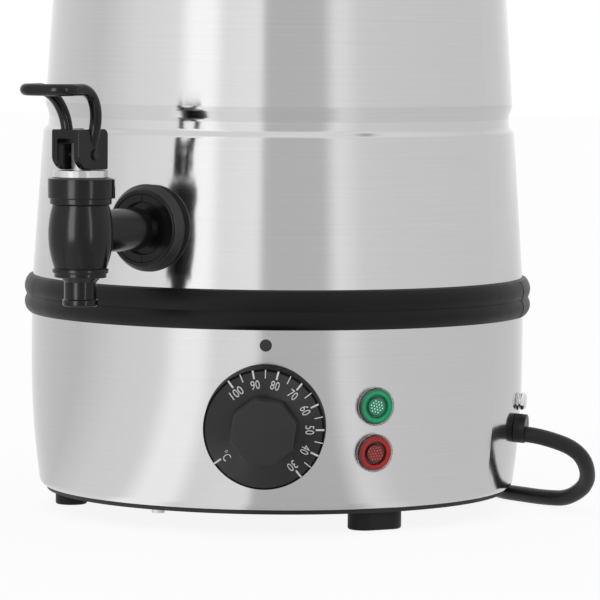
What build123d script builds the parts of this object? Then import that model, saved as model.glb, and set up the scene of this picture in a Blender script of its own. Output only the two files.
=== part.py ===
from build123d import *
import math
import os

# Hot water urn: a drawn-in base with the heater and controls, a tapered tank on top of it, a tap in front.
# Millimetres. +Z is up the urn's axis from the floor, the tap points along -Y.
# Angles on the body are measured from the tap's direction towards +X.

# ---- Base shell ----
BASE_RADIUS = 140.0
BASE_SHEET = 1.0
BASE_DRAW_HEIGHT = 84.0      # the wall is upright above this height
BASE_DRAW_RADIUS = 480.0     # radius of the long arc that draws the wall in below it
BASE_EDGE_HEIGHT = 12.5
BASE_EDGE_ROUND = 4.5
BASE_TOP_HEIGHT = 121.0
SHOULDER_WIDTH = 16.0        # inward flange that the tank stands on
FLANGE_WIDTH = 13.0          # inward flange that the base plate is screwed to

# ---- Base plate and feet ----
PLATE_INSET = 9.0
PLATE_RADIUS = BASE_RADIUS - PLATE_INSET
PLATE_THICKNESS = 2.0
PLATE_SCREW_INSET = 4.5
PLATE_SCREW_CIRCLE = PLATE_RADIUS - PLATE_SCREW_INSET
PLATE_SCREW_ANGLES = (0.0, 120.0, 240.0)
FOOT_ANGLES = (58.0, 178.0, 298.0)
FOOT_INSET = 14.0
FOOT_CIRCLE = PLATE_RADIUS - FOOT_INSET
FOOT_LENGTH = 31.0
FOOT_WIDTH = 18.0
FOOT_SCREW_RECESS = 4.0
SELF_TAP_RADIUS = 1.9
SELF_TAP_LENGTH = 10.0
SELF_TAP_HEAD_RADIUS = 3.6
SELF_TAP_HEAD_HEIGHT = 2.0
FOOT_EDGE_ROUND = 1.2
FOOT_SCREW_CLEARANCE = 0.6
HOLE_REACH = 5.0             # how far a cutter goes past a sheet on each side
TAB_THICKNESS = 0.8          # push-on terminals
TAB_WIDTH = 6.3
TAB_LENGTH = 8.0

VENT_LENGTH = 60.0
VENT_WIDTH = 4.0
VENT_PITCH = 12.0
VENT_COUNT = 5
TERMINAL_PLACE = (45.0, 62.0)
TERMINAL_LENGTH = 36.0
TERMINAL_WIDTH = 20.0
TERMINAL_HEIGHT = 16.0
TERMINAL_SCREW_RADIUS = 2.0
TERMINAL_SCREW_LENGTH = 6.0

# ---- Trim band over the joint of tank and base ----
BAND_BELOW = 9.8             # below and above the base's top
BAND_ABOVE = 11.8
BAND_LOW = BASE_TOP_HEIGHT - BAND_BELOW
BAND_HIGH = BASE_TOP_HEIGHT + BAND_ABOVE
BAND_RADIUS = BASE_RADIUS + 4.0
BAND_WAIST_RADIUS = BASE_RADIUS + 2.7
BAND_WAIST_HEIGHT = BASE_TOP_HEIGHT + 0.2
BAND_EDGE_PROUD = 1.2
BAND_CROWN_PROUD = 2.2
BAND_CROWN_HEIGHT = 0.8

# ---- Tank ----
TANK_WALL = 0.8
TANK_FOOT_RADIUS = BASE_RADIUS - 0.6     # straight stretch behind the band
TANK_TAPER = 0.0695          # radius lost per unit of height
RIM_HEIGHT = 430.0
RIM_BEAD = 2.4
TANK_FLOOR_HEIGHT = BASE_TOP_HEIGHT + 4.0     # underside of the tank's floor
GROOVE_LOW = 214.5
GROOVE_HIGH = 229.5
GROOVE_DEPTH = 2.5
GROOVE_LOW_SLOPE = 3.0       # height of the groove's sharp lower side
GROOVE_HIGH_SLOPE = 6.0      # height of its soft upper side

# ---- Thermostat and its knob ----
KNOB_ANGLE = 28.0
KNOB_HEIGHT = 60.0
KNOB_BACK_RADIUS = 32.9
KNOB_FACE_RADIUS = 32.6
KNOB_GAP = 1.3
KNOB_DEPTH = 16.0
KNOB_WALL = 2.2
GRIP_CORNER_RADIUS = 18.6
GRIP_HEIGHT = 12.5
GRIP_TURN = 14.7             # how far a corner stands from the 3 o'clock direction
HUB_RADIUS = 8.0
SHAFT_RADIUS = 3.0
SHAFT_FLAT = 1.0
SHAFT_FLAT_LENGTH = 12.0
SHAFT_LENGTH = 24.0
RUNNING_GAP = 0.05
THERMOSTAT_WIDTH = 40.0
THERMOSTAT_HEIGHT = 34.0
THERMOSTAT_DEPTH = 26.0
THERMOSTAT_PLATE = 1.5
THERMOSTAT_PLATE_EDGE = 2.5
PANEL_SCREW_SPACING = 28.0
PANEL_SCREW_RADIUS = 2.0
PANEL_SCREW_DEPTH = 8.0
PANEL_SCREW_HEAD_RADIUS = 3.5
PANEL_SCREW_HEAD_HEIGHT = 2.0
INDEX_DROP = 18.0            # below the base's top
INDEX_HEIGHT = BASE_TOP_HEIGHT - INDEX_DROP
INDEX_RADIUS = 3.3
INDEX_PROUD = 0.5
INDEX_PEG_LENGTH = 3.0

# ---- Pilot lamps ----
LAMP_ANGLE = 52.5
LAMP_HEIGHTS = {"green": 69.8, "red": 44.5}
LENS_RADIUS = 9.25
LENS_PROUD = 2.7
LENS_WINDOW_RADIUS = 4.6
LENS_FLOOR_RADIUS = 6.3
LENS_RECESS = 1.5
LENS_WINDOW_PROUD = 1.8
BEZEL_RADIUS = 9.7
BEZEL_HEIGHT = 3.8
BEZEL_FLOOR = 0.6
LAMP_BODY_RADIUS = 6.0
LAMP_BODY_LENGTH = 24.0
LAMP_TAB_SPACING = 6.0
LAMP_TAB_WIDTH = 4.8
LAMP_CLIP_WIDTH = 3.0
LAMP_CLIP_THICKNESS = 2.0

# ---- Cord outlet and reset button ----
GLAND_ANGLE = 107.0
GLAND_HEIGHT = 48.7
GLAND_RADIUS = 8.2
GLAND_PROUD = 6.3
GLAND_NECK_RADIUS = 7.0
GLAND_NECK_LENGTH = 12.0
GLAND_NUT_RADIUS = 8.8
PANEL_NUT_THICKNESS = 3.5
CORD_EXIT_OFFSET = -3.1
CORD_FIRST_RUN = 9.0
RESET_ANGLE = 109.0
RESET_HEIGHT = 63.4
RESET_RADIUS = 5.3
RESET_PROUD = 4.4
RESET_TRAVEL = 0.8
RESET_BUTTON_RADIUS = 3.5
RESET_CAP_RADIUS = 5.0
RESET_CAP_LOW = 1.5
RESET_NUT_HEIGHT = 0.6
CUTOUT_BODY_RADIUS = 6.4
CUTOUT_BODY_LENGTH = 16.0
CUTOUT_NECK_RADIUS = 4.5
CUTOUT_BORE_DEPTH = 8.0
CUTOUT_FLOOR_GAP = 1.0       # left under the button when it is pressed

# ---- Heater under the tank ----
HEATER_PLATE_RADIUS = 78.0
HEATER_PLATE_THICKNESS = 3.5
HEATER_RING_RADIUS = 58.0
HEATER_TUBE_RADIUS = 4.0
HEATER_LEG_RADIUS = 3.2
HEATER_LEG_LENGTH = 16.0
HEATER_LEG_SPREAD = 12.0
CLAMP_LENGTH = 132.0
CLAMP_WIDTH = 20.0
CLAMP_THICKNESS = 2.5
STUD_RADIUS = 3.0
STUD_PROUD = 8.0
CLAMP_NUT_RADIUS = 5.8
CLAMP_NUT_THICKNESS = 5.0
BULB_RADIUS = 3.0
BULB_LENGTH = 60.0
BULB_PLACE = 96.0
CAPILLARY_RADIUS = 1.0
CAPILLARY_LEAD = 16.0
CAPILLARY_DROP = 18.0
CAPILLARY_RISE = 14.0
CAPILLARY_BEND = 6.0

# ---- Tap ----
TAP_BAND_GAP = 8.2           # between the trim band and the tap's gasket
TAP_REACH = 205.0            # urn axis to the barrel's axis
SHANK_RADIUS = 10.9          # at the barrel
SHANK_SHOULDER_RADIUS = 11.7
SHANK_SHOULDER_LENGTH = 10.5 # cone between the shoulder and the collar's floor
SHANK_END_RADIUS = 9.4
SPIGOT_RADIUS = 8.5
SPIGOT_LENGTH = 16.0         # threaded end inside the tank
TAP_BORE_RADIUS = 5.8
GASKET_RADIUS = 23.7
GASKET_THICKNESS = 5.7
GASKET_EDGE = 4.6            # from its face back to its widest ring
GASKET_TAPER = 2.6
TAP_HEIGHT = BAND_HIGH + TAP_BAND_GAP + GASKET_RADIUS   # centre of the shank
COLLAR_RADIUS = 20.7
COLLAR_THICKNESS = 1.4
COLLAR_RIM = 2.0
COLLAR_STEP = 0.7
COLLAR_CUP_RADIUS = 14.1
COLLAR_CUP_DEPTH = 3.6        # from the front to the cup's floor
COLLAR_WEB = 1.2
INNER_GASKET_RADIUS = 14.0
INNER_GASKET_THICKNESS = 2.5
TAP_NUT_FLATS = 26.0
TAP_NUT_THICKNESS = 7.0
SPOUT_DROP = 38.5            # drops and rises are from the shank's centre
SPOUT_BOTTOM = TAP_HEIGHT - SPOUT_DROP
SPOUT_LENGTH = 15.1
SPOUT_TOP = SPOUT_BOTTOM + SPOUT_LENGTH
SPOUT_RADIUS = 8.55
SPOUT_LIP_RADIUS = 9.35
SPOUT_LIP_HEIGHT = 3.2
BARREL_DROP = 18.7
BARREL_BOTTOM = TAP_HEIGHT - BARREL_DROP
BARREL_RISE = 15.3
BARREL_TOP = TAP_HEIGHT + BARREL_RISE
BARREL_RADIUS = 17.15
BARREL_END_RADIUS = 14.85
BARREL_FOOT_RADIUS = 13.85
CHAMBER_RADIUS = 10.6
CHAMBER_DROP = 14.7
CHAMBER_FLOOR = TAP_HEIGHT - CHAMBER_DROP
BONNET_RADIUS = 17.4
BONNET_NECK_RADIUS = 16.3
BONNET_HEIGHT = 14.0
BONNET_NECK_HEIGHT = 3.0
BONNET_THREAD = 4.0
RING_RADIUS = 14.5
RING_HEIGHT = 4.0
STEM_RADIUS = 5.0
STEM_FOOT_DROP = 8.7
STEM_FOOT_HEIGHT = TAP_HEIGHT - STEM_FOOT_DROP
STEM_RISE = 47.3
STEM_TOP_HEIGHT = TAP_HEIGHT + STEM_RISE
CUP_RADIUS = 8.6
CUP_COVER = 2.0              # how far the cup holds the stem's foot
CUP_EDGE_HEIGHT = 3.0
SPRING_WIRE_RADIUS = 0.6
SPRING_COIL_RADIUS = 7.6
SPRING_TURNS = 5

# ---- Tap lever ----
PIN_RISE = 41.3
PIN_HEIGHT = TAP_HEIGHT + PIN_RISE
PIN_RADIUS = 2.0
BOSS_RADIUS = 3.0
BOSS_HEIGHT = 0.8
LEVER_WIDTH = 17.6
LEVER_GAP = 10.5
LEVER_REAR = 13.0
LEVER_TOP = 13.5             # above the pin
LEVER_BRIDGE_HEIGHT = 4.7
LEVER_STEM_GAP = 1.5
LEVER_REAR_ROUND = 3.5
LEVER_EDGE_ROUND = 0.8
CAM_CLEARANCE = 0.15
CAM_END_TURN = 52.5          # beyond the lever's full travel
CAM_END_RADIUS = 5.0
CAM_RATE = 5.7               # stem lift for each radian of lever travel
LOOP_BAR_RADIUS = 3.15
LOOP_HEIGHT = 34.5           # above the pin
LOOP_HALF_WIDTH = 14.2
LOOP_REACH = 37.0
LOOP_BENDS = (20.0, 20.0, 8.0)
ARM_FOOT_RISE = 3.0
ARM_FOOT_WIDTH = 5.9         # half distance between the arms' feet, inside the plates
ARM_KNEE_FORWARD = 0.2
ARM_KNEE_RISE = 11.0
ARM_KNEE_WIDTH = 8.3
ARM_CORNER_WIDTH = 12.2
ARM_CORNER_FORWARD = 0.4

# ---- Handles, lid ----
HANDLE_ANGLES = {"right": 90.0, "left": 270.0}
HANDLE_DROP = 46.0           # below the rim
HANDLE_HEIGHT = RIM_HEIGHT - HANDLE_DROP
HANDLE_SPAN = 104.0
HANDLE_REACH = 44.0
HANDLE_THICKNESS = 15.0
HANDLE_DEPTH = 21.0
HANDLE_PAD_WIDTH = 26.0
HANDLE_PAD_DEPTH = 15.0
HANDLE_PAD_ROUND = 2.5
HANDLE_PAD_EDGE = 2.0        # bracket left showing round the pad
HANDLE_FOOT_DEPTH = 4.0      # how far the handle's ends are cut back to the wall
HANDLE_SPLAY = 4.0
HANDLE_BEND = 16.0
BRACKET_THICKNESS = 1.5
BRACKET_HEIGHT = 34.0
HANDLE_SCREW_RADIUS = 2.5
HANDLE_SCREW_GRIP = 9.0
HANDLE_SCREW_HEAD_RADIUS = 5.0
HANDLE_SCREW_HEAD_HEIGHT = 2.25
SHEET_SEAT_GAP = 0.35        # how far a flat part stands off a round wall's inside
LID_SHEET = 0.8
LID_OVERHANG = 3.4
LID_SKIRT_DEPTH = 11.0
LID_SKIRT_GAP = 0.8
LID_DOME_HEIGHT = 17.0
LID_STEP_WIDTH = 6.0
LID_STEP_HEIGHT = 4.5
LID_DOME_FULLNESS = 0.75     # share of the dome's rise reached at half its radius
LID_KNOB_RADIUS = 21.0
LID_KNOB_HEIGHT = 36.0
LID_KNOB_WAIST = 16.0
LID_KNOB_CROWN = 11.0
LID_KNOB_STEM_RADIUS = 10.0
LID_SCREW_RADIUS = 2.5
LID_SCREW_HEAD_RADIUS = 4.5
LID_SCREW_HEAD_HEIGHT = 2.4
VENT_RADIUS = 2.5
VENT_PLACE = 70.0
LID_WASHER_THICKNESS = 0.8
LID_WASHER_RADIUS = 6.5

# ---- Mains cord ----
CORD_RADIUS = 4.5
COIL_CENTRE = (-60.0, 195.0)
COIL_MID_RADIUS = 50.0
COIL_ENTRY_ANGLE = 45.0
COIL_SECTION = 4 * CORD_RADIUS
CORD_ROUTE = [
    (167, 55, 36.5), (165, 72, 17.5), (147.5, 80.5, 5.5), (130, 84.5, 4.5),
    (111, 91.5, 4.5), (95, 98, 4.5), (79, 114, 4.5), (66, 146, 4.5), (42, 181, 4.5), (12, 208, 4.5),
]
TAIL_ROUTE = [(-114.7, 178, 14.5)]
PLUG_PLACE = (-120.0, 161.0, 18.5)
PLUG_HEADING = (-0.3, -0.954, 0.0)
PLUG_RADIUS = 18.5
PLUG_LENGTH = 38.0
PLUG_NECK_LENGTH = 16.0
PLUG_PIN_RADIUS = 2.4
PLUG_PIN_LENGTH = 19.0
PLUG_PIN_SPACING = 19.0
PLUG_NECK_WALL = 0.8
PLUG_NECK_FLARE = 3.0
PLUG_SHOULDER_LENGTH = 12.0


# ---- Shared geometry ----
def base_wall(height):
    """Outside radius of the base shell at a height."""
    drop = max(0.0, BASE_DRAW_HEIGHT - height)
    return BASE_RADIUS - BASE_DRAW_RADIUS + math.sqrt(BASE_DRAW_RADIUS**2 - drop**2)


def base_tilt(height):
    """How far the base shell's wall leans in at a height, in degrees."""
    return math.degrees(math.asin(max(0.0, BASE_DRAW_HEIGHT - height) / BASE_DRAW_RADIUS))


def tank_wall(height):
    """Outside radius of the tank at a height, leaving out the groove."""
    return TANK_FOOT_RADIUS - TANK_TAPER * max(0.0, height - BAND_HIGH)


def facing_out(angle, height, radius, tilt=0.0):
    """A plane whose normal points outward at an angle round the urn, with its y axis up."""
    a, t = math.radians(angle), math.radians(tilt)
    return Plane(
        origin=(radius * math.sin(a), -radius * math.cos(a), height),
        x_dir=(math.cos(a), math.sin(a), 0),
        z_dir=(math.sin(a) * math.cos(t), -math.cos(a) * math.cos(t), -math.sin(t)),
    )


def turned(*corners):
    """A solid turned about the Z axis. Each corner is (radius, height) or (radius, height, rounding)."""
    points = [(c[0], c[1]) for c in corners]
    rounds = [c[2] if len(c) > 2 else 0.0 for c in corners]
    outline = FilletPolyline(*points, radius=rounds, close=True)
    return revolve(Plane.XZ * make_face(outline), Axis.Z)


def disc(radius, low, high):
    """An upright cylinder between two heights."""
    return Pos(0, 0, low) * Cylinder(radius, high - low, align=(Align.CENTER, Align.CENTER, Align.MIN))


def hole(radius):
    """A cutter that goes through a sheet."""
    return disc(radius, -HOLE_REACH, HOLE_REACH)


def bar(path, radius):
    """A round bar swept along a path."""
    return sweep(Plane(path @ 0, z_dir=path % 0) * Circle(radius), path=path)


def screw(length, radius, head_radius, head_height):
    """A screw along local Z: the head stands on the plane, the shank goes below it."""
    return disc(radius, -length, 0) + disc(head_radius, 0, head_height)


def rounded(section, *corners):
    """Rounds corners of a flat section, each given as (point, radius)."""
    for point, radius in corners:
        section = fillet(section.vertices().sort_by_distance(Vector(*point))[0], radius)
    return section


def drop_across(radius, half_width):
    """How far a round wall falls away from its tangent at half_width to the side."""
    return radius - math.sqrt(radius**2 - half_width**2)


def tank_body(low, high, offset=0.0):
    """The tank's cone as a solid between two heights, its radius changed by offset."""
    return turned((0, low), (tank_wall(low) + offset, low), (tank_wall(high) + offset, high), (0, high))


# ---- Planes that several pieces share ----
KNOB_PLANE = facing_out(KNOB_ANGLE, KNOB_HEIGHT, base_wall(KNOB_HEIGHT), base_tilt(KNOB_HEIGHT))
INDEX_PLANE = facing_out(KNOB_ANGLE, INDEX_HEIGHT, base_wall(INDEX_HEIGHT))
GLAND_PLANE = facing_out(GLAND_ANGLE, GLAND_HEIGHT, base_wall(GLAND_HEIGHT), base_tilt(GLAND_HEIGHT))
RESET_PLANE = facing_out(RESET_ANGLE, RESET_HEIGHT, base_wall(RESET_HEIGHT), base_tilt(RESET_HEIGHT))
SHANK_PLANE = facing_out(0, TAP_HEIGHT, 0)
BARREL_PLACE = Pos(0, -TAP_REACH, 0)
LEVER_PLANE = Plane(origin=(0, -TAP_REACH, PIN_HEIGHT), x_dir=(0, -1, 0), z_dir=(-1, 0, 0))
PANEL_SEAT = BASE_SHEET + SHEET_SEAT_GAP   # how far behind the wall's front a flat nut seats
BASE_PLATE_LOW = BASE_EDGE_HEIGHT - PLATE_THICKNESS


def lamp_plane(height):
    return facing_out(LAMP_ANGLE, height, base_wall(height), base_tilt(height))


# ---- Base ----
def base_shell():
    low, sheet, draw, top = BASE_EDGE_HEIGHT, BASE_SHEET, BASE_DRAW_HEIGHT, BASE_TOP_HEIGHT
    middle, inside = (low + draw) / 2, BASE_RADIUS - sheet
    flange, shoulder = base_wall(low) - FLANGE_WIDTH, BASE_RADIUS - SHOULDER_WIDTH
    corner, inner_corner = (base_wall(low), low), (base_wall(low + sheet) - sheet, low + sheet)
    outline = (
        Line((flange, low), corner)
        + ThreePointArc(corner, (base_wall(middle), middle), (BASE_RADIUS, draw))
        + Polyline((BASE_RADIUS, draw), (BASE_RADIUS, top), (shoulder, top), (shoulder, top - sheet),
                   (inside, top - sheet), (inside, draw))
        + ThreePointArc((inside, draw), (base_wall(middle) - sheet, middle), inner_corner)
        + Polyline(inner_corner, (flange, low + sheet), (flange, low))
    )
    section = rounded(
        make_face(outline),
        (corner, BASE_EDGE_ROUND), (inner_corner, BASE_EDGE_ROUND - sheet),
        ((BASE_RADIUS, top), 2.0), ((inside, top - sheet), 2.0 - sheet),
    )
    shell = revolve(Plane.XZ * section, Axis.Z)
    for side in (-1, 1):
        shell -= KNOB_PLANE * Pos(side * PANEL_SCREW_SPACING / 2, 0, 0) * hole(PANEL_SCREW_RADIUS)
    shell -= KNOB_PLANE * hole(SHAFT_RADIUS + BASE_SHEET)
    shell -= INDEX_PLANE * hole(INDEX_RADIUS / 2)
    for height in LAMP_HEIGHTS.values():
        shell -= lamp_plane(height) * hole(LAMP_BODY_RADIUS)
    shell -= GLAND_PLANE * hole(GLAND_NECK_RADIUS)
    shell -= RESET_PLANE * hole(CUTOUT_NECK_RADIUS)
    for angle in PLATE_SCREW_ANGLES:
        shell -= Rot(0, 0, angle) * Pos(0, -PLATE_SCREW_CIRCLE, BASE_EDGE_HEIGHT) * hole(SELF_TAP_RADIUS)
    return shell


def base_plate():
    plate = disc(PLATE_RADIUS, BASE_PLATE_LOW, BASE_EDGE_HEIGHT)
    for angle in PLATE_SCREW_ANGLES:
        plate -= Rot(0, 0, angle) * Pos(0, -PLATE_SCREW_CIRCLE, BASE_EDGE_HEIGHT) * hole(SELF_TAP_RADIUS)
    for angle in FOOT_ANGLES:
        plate -= Rot(0, 0, angle) * Pos(0, -FOOT_CIRCLE, BASE_EDGE_HEIGHT) * hole(SELF_TAP_RADIUS)
    vent = extrude(Pos(0, 0, BASE_PLATE_LOW) * SlotOverall(VENT_LENGTH, VENT_WIDTH), PLATE_THICKNESS)
    for row in range(VENT_COUNT):
        plate -= Pos(0, (row - (VENT_COUNT - 1) / 2) * VENT_PITCH, 0) * vent
    return plate


def base_plate_screws():
    fastener = Rot(180, 0, 0) * screw(SELF_TAP_LENGTH / 2, SELF_TAP_RADIUS, SELF_TAP_HEAD_RADIUS,
                                      SELF_TAP_HEAD_HEIGHT)
    place = Pos(0, -PLATE_SCREW_CIRCLE, BASE_PLATE_LOW)
    return [Rot(0, 0, angle) * place * fastener for angle in PLATE_SCREW_ANGLES]


def foot():
    block = extrude(SlotOverall(FOOT_LENGTH, FOOT_WIDTH), BASE_PLATE_LOW)
    block = fillet(block.faces().sort_by(Axis.Z)[0].edges(), FOOT_EDGE_ROUND)
    block -= disc(SELF_TAP_HEAD_RADIUS + FOOT_SCREW_CLEARANCE, 0, FOOT_SCREW_RECESS)
    return block - disc(SELF_TAP_RADIUS, 0, BASE_PLATE_LOW)


def on_foot(angle, piece):
    return Rot(0, 0, angle) * Pos(0, -FOOT_CIRCLE, 0) * piece


def foot_screws():
    fastener = Rot(180, 0, 0) * screw(SELF_TAP_LENGTH, SELF_TAP_RADIUS, SELF_TAP_HEAD_RADIUS,
                                      SELF_TAP_HEAD_HEIGHT)
    return [on_foot(angle, Pos(0, 0, FOOT_SCREW_RECESS) * fastener) for angle in FOOT_ANGLES]


def trim_band():
    waist = (BAND_WAIST_RADIUS, BAND_WAIST_HEIGHT)
    low_start = (BASE_RADIUS + BAND_EDGE_PROUD, BAND_LOW)
    high_end = (TANK_FOOT_RADIUS + BAND_CROWN_PROUD, BAND_HIGH - BAND_CROWN_HEIGHT)
    outline = (
        Line((BASE_RADIUS, BAND_LOW), low_start)
        + ThreePointArc(low_start, (BAND_RADIUS, (BAND_LOW + BAND_WAIST_HEIGHT) / 2), waist)
        + ThreePointArc(waist, (BAND_RADIUS, (BAND_HIGH + BAND_WAIST_HEIGHT) / 2), high_end)
        + Polyline(high_end, (TANK_FOOT_RADIUS, BAND_HIGH), (TANK_FOOT_RADIUS, BASE_TOP_HEIGHT),
                   (BASE_RADIUS, BASE_TOP_HEIGHT), (BASE_RADIUS, BAND_LOW))
    )
    return revolve(Plane.XZ * make_face(outline), Axis.Z)


def index_dot():
    return INDEX_PLANE * (disc(INDEX_RADIUS, 0, INDEX_PROUD) + disc(INDEX_RADIUS / 2, -INDEX_PEG_LENGTH, 0))


# ---- Thermostat ----
def thermostat_front():
    """Where the flat mounting plate touches the round wall with its corners, from the knob plane."""
    inside = base_wall(KNOB_HEIGHT) - BASE_SHEET
    upright = drop_across(BASE_DRAW_RADIUS, THERMOSTAT_HEIGHT / 2)
    return -BASE_SHEET - drop_across(inside, THERMOSTAT_WIDTH / 2) - upright - RUNNING_GAP


def thermostat_shaft():
    inner_end = thermostat_front() - THERMOSTAT_PLATE - SHAFT_LENGTH / 2
    outer_end = KNOB_GAP + KNOB_DEPTH - 1
    flat = Pos(SHAFT_RADIUS, 0, outer_end - SHAFT_FLAT_LENGTH / 2)
    flat *= Box(2 * SHAFT_FLAT, 2 * SHAFT_RADIUS, SHAFT_FLAT_LENGTH)
    return KNOB_PLANE * (disc(SHAFT_RADIUS, inner_end, outer_end) - flat)


def thermostat_body():
    front = thermostat_front()
    back = front - THERMOSTAT_PLATE - THERMOSTAT_DEPTH
    housing_width = THERMOSTAT_WIDTH - 2 * THERMOSTAT_PLATE_EDGE
    housing_height = THERMOSTAT_HEIGHT - 2 * THERMOSTAT_PLATE_EDGE
    low = (Align.CENTER, Align.CENTER, Align.MIN)
    body = Pos(0, 0, front - THERMOSTAT_PLATE) * Box(THERMOSTAT_WIDTH, THERMOSTAT_HEIGHT,
                                                     THERMOSTAT_PLATE, align=low)
    body += Pos(0, 0, back) * Box(housing_width, housing_height, THERMOSTAT_DEPTH, align=low)
    body -= disc(SHAFT_RADIUS + RUNNING_GAP, front - THERMOSTAT_PLATE - SHAFT_LENGTH / 2 - 1, front)
    for side in (-1, 1):
        screw_hole = disc(PANEL_SCREW_RADIUS, front - PANEL_SCREW_DEPTH, front)
        body -= Pos(side * PANEL_SCREW_SPACING / 2, 0, 0) * screw_hole
    return KNOB_PLANE * body


def thermostat_screws():
    near_edge = PANEL_SCREW_SPACING / 2 - PANEL_SCREW_HEAD_RADIUS
    seat = -drop_across(base_wall(KNOB_HEIGHT), near_edge)
    fastener = screw(PANEL_SCREW_DEPTH + seat, PANEL_SCREW_RADIUS, PANEL_SCREW_HEAD_RADIUS,
                     PANEL_SCREW_HEAD_HEIGHT)
    return [KNOB_PLANE * Pos(side * PANEL_SCREW_SPACING / 2, 0, seat) * fastener for side in (-1, 1)]


def knob():
    back, face = KNOB_GAP, KNOB_GAP + KNOB_DEPTH
    web = face - KNOB_WALL
    skirt = turned((0, back), (KNOB_BACK_RADIUS, back, 0.5), (KNOB_FACE_RADIUS, face, 1.2), (0, face))
    hollow = turned((HUB_RADIUS, back - 1), (KNOB_BACK_RADIUS - KNOB_WALL, back - 1),
                    (KNOB_FACE_RADIUS - KNOB_WALL, web, 1.0), (HUB_RADIUS, web, 1.0))
    grip = extrude(RegularPolygon(GRIP_CORNER_RADIUS, 8, rotation=GRIP_TURN), GRIP_HEIGHT, taper=1.5)
    grip = fillet(grip.faces().sort_by(Axis.Z)[-1].edges(), 1.4)
    return KNOB_PLANE * (skirt - hollow + Pos(0, 0, face) * grip) - thermostat_shaft()


def capillary():
    """The sensing bulb under the tank's floor with its thin tube to the thermostat."""
    bulb_height = TANK_FLOOR_HEIGHT - BULB_RADIUS - RUNNING_GAP
    half = BULB_LENGTH / 2
    bulb = Pos(-half, -BULB_PLACE, bulb_height) * Rot(0, 90, 0) * disc(BULB_RADIUS, 0, BULB_LENGTH)
    inlet = KNOB_PLANE * Pos(0, THERMOSTAT_HEIGHT / 2 - THERMOSTAT_PLATE_EDGE,
                             thermostat_front() - THERMOSTAT_DEPTH / 2)
    end = inlet.position
    path = FilletPolyline(
        (half, -BULB_PLACE, bulb_height), (half + CAPILLARY_LEAD, -BULB_PLACE, bulb_height),
        (end.X, end.Y + CAPILLARY_BEND / 2, bulb_height - CAPILLARY_DROP),
        (end.X, end.Y, end.Z + CAPILLARY_RISE), (end.X, end.Y, end.Z),
        radius=CAPILLARY_BEND,
    )
    return bulb + bar(path, CAPILLARY_RADIUS)


# ---- Pilot lamps ----
def lamp_lens(height):
    seat, face = BEZEL_FLOOR, LENS_PROUD
    groove = face - LENS_RECESS
    lens = turned(
        (0, seat), (LENS_RADIUS, seat), (LENS_RADIUS, face, 0.4), (LENS_FLOOR_RADIUS, face, 0.3),
        (LENS_FLOOR_RADIUS - 0.4, groove), (LENS_WINDOW_RADIUS, groove),
        (LENS_WINDOW_RADIUS, groove + LENS_WINDOW_PROUD), (0, groove + LENS_WINDOW_PROUD),
    )
    return lamp_plane(height) * lens


def lamp_bezels():
    bore = LENS_RADIUS + RUNNING_GAP
    ring = turned((LAMP_BODY_RADIUS, 0), (BEZEL_RADIUS, 0), (BEZEL_RADIUS, BEZEL_HEIGHT, 0.25),
                  (bore, BEZEL_HEIGHT, 0.2), (bore, BEZEL_FLOOR), (LAMP_BODY_RADIUS, BEZEL_FLOOR))
    return [lamp_plane(height) * ring for height in LAMP_HEIGHTS.values()]


def lamp_bodies():
    body = disc(LAMP_BODY_RADIUS, -LAMP_BODY_LENGTH, BEZEL_FLOOR)
    for side in (-1, 1):
        body += Pos(side * LAMP_TAB_SPACING / 2, 0, -LAMP_BODY_LENGTH - TAB_LENGTH / 2) * Box(
            TAB_THICKNESS, LAMP_TAB_WIDTH, TAB_LENGTH)
    return [lamp_plane(height) * body for height in LAMP_HEIGHTS.values()]


def lamp_clips():
    """Spring rings that hold the lamps from behind the wall."""
    ring = disc(LAMP_BODY_RADIUS + LAMP_CLIP_WIDTH, -PANEL_SEAT - LAMP_CLIP_THICKNESS, -PANEL_SEAT)
    ring -= hole(LAMP_BODY_RADIUS)
    return [lamp_plane(height) * ring for height in LAMP_HEIGHTS.values()]


# ---- Cord outlet, reset button with its thermal cut-out ----
def cord_gland():
    body = turned(
        (0, -GLAND_NECK_LENGTH), (GLAND_NECK_RADIUS, -GLAND_NECK_LENGTH), (GLAND_NECK_RADIUS, 0),
        (GLAND_RADIUS, 0), (GLAND_RADIUS, GLAND_PROUD, 0.8), (0, GLAND_PROUD),
    )
    return GLAND_PLANE * body


def gland_nut():
    low = -PANEL_SEAT - PANEL_NUT_THICKNESS
    nut = Pos(0, 0, low) * extrude(RegularPolygon(GLAND_NUT_RADIUS, 6), PANEL_NUT_THICKNESS)
    return GLAND_PLANE * (nut - hole(GLAND_NECK_RADIUS))


def cutout_body():
    body = disc(CUTOUT_BODY_RADIUS, -PANEL_SEAT - CUTOUT_BODY_LENGTH, -PANEL_SEAT)
    body += disc(CUTOUT_NECK_RADIUS, -PANEL_SEAT, RESET_NUT_HEIGHT)
    body -= disc(RESET_BUTTON_RADIUS + RUNNING_GAP, -CUTOUT_BORE_DEPTH, RESET_NUT_HEIGHT)
    for side in (-1, 1):
        tab = Box(TAB_THICKNESS, TAB_WIDTH, TAB_LENGTH)
        body += Pos(side * CUTOUT_BODY_RADIUS / 2, 0, -PANEL_SEAT - CUTOUT_BODY_LENGTH - TAB_LENGTH / 2) * tab
    return RESET_PLANE * body


def cutout_nut():
    ring = turned((CUTOUT_NECK_RADIUS, 0), (RESET_RADIUS, 0), (RESET_RADIUS, RESET_NUT_HEIGHT, 0.2),
                  (CUTOUT_NECK_RADIUS, RESET_NUT_HEIGHT))
    return RESET_PLANE * ring


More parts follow.
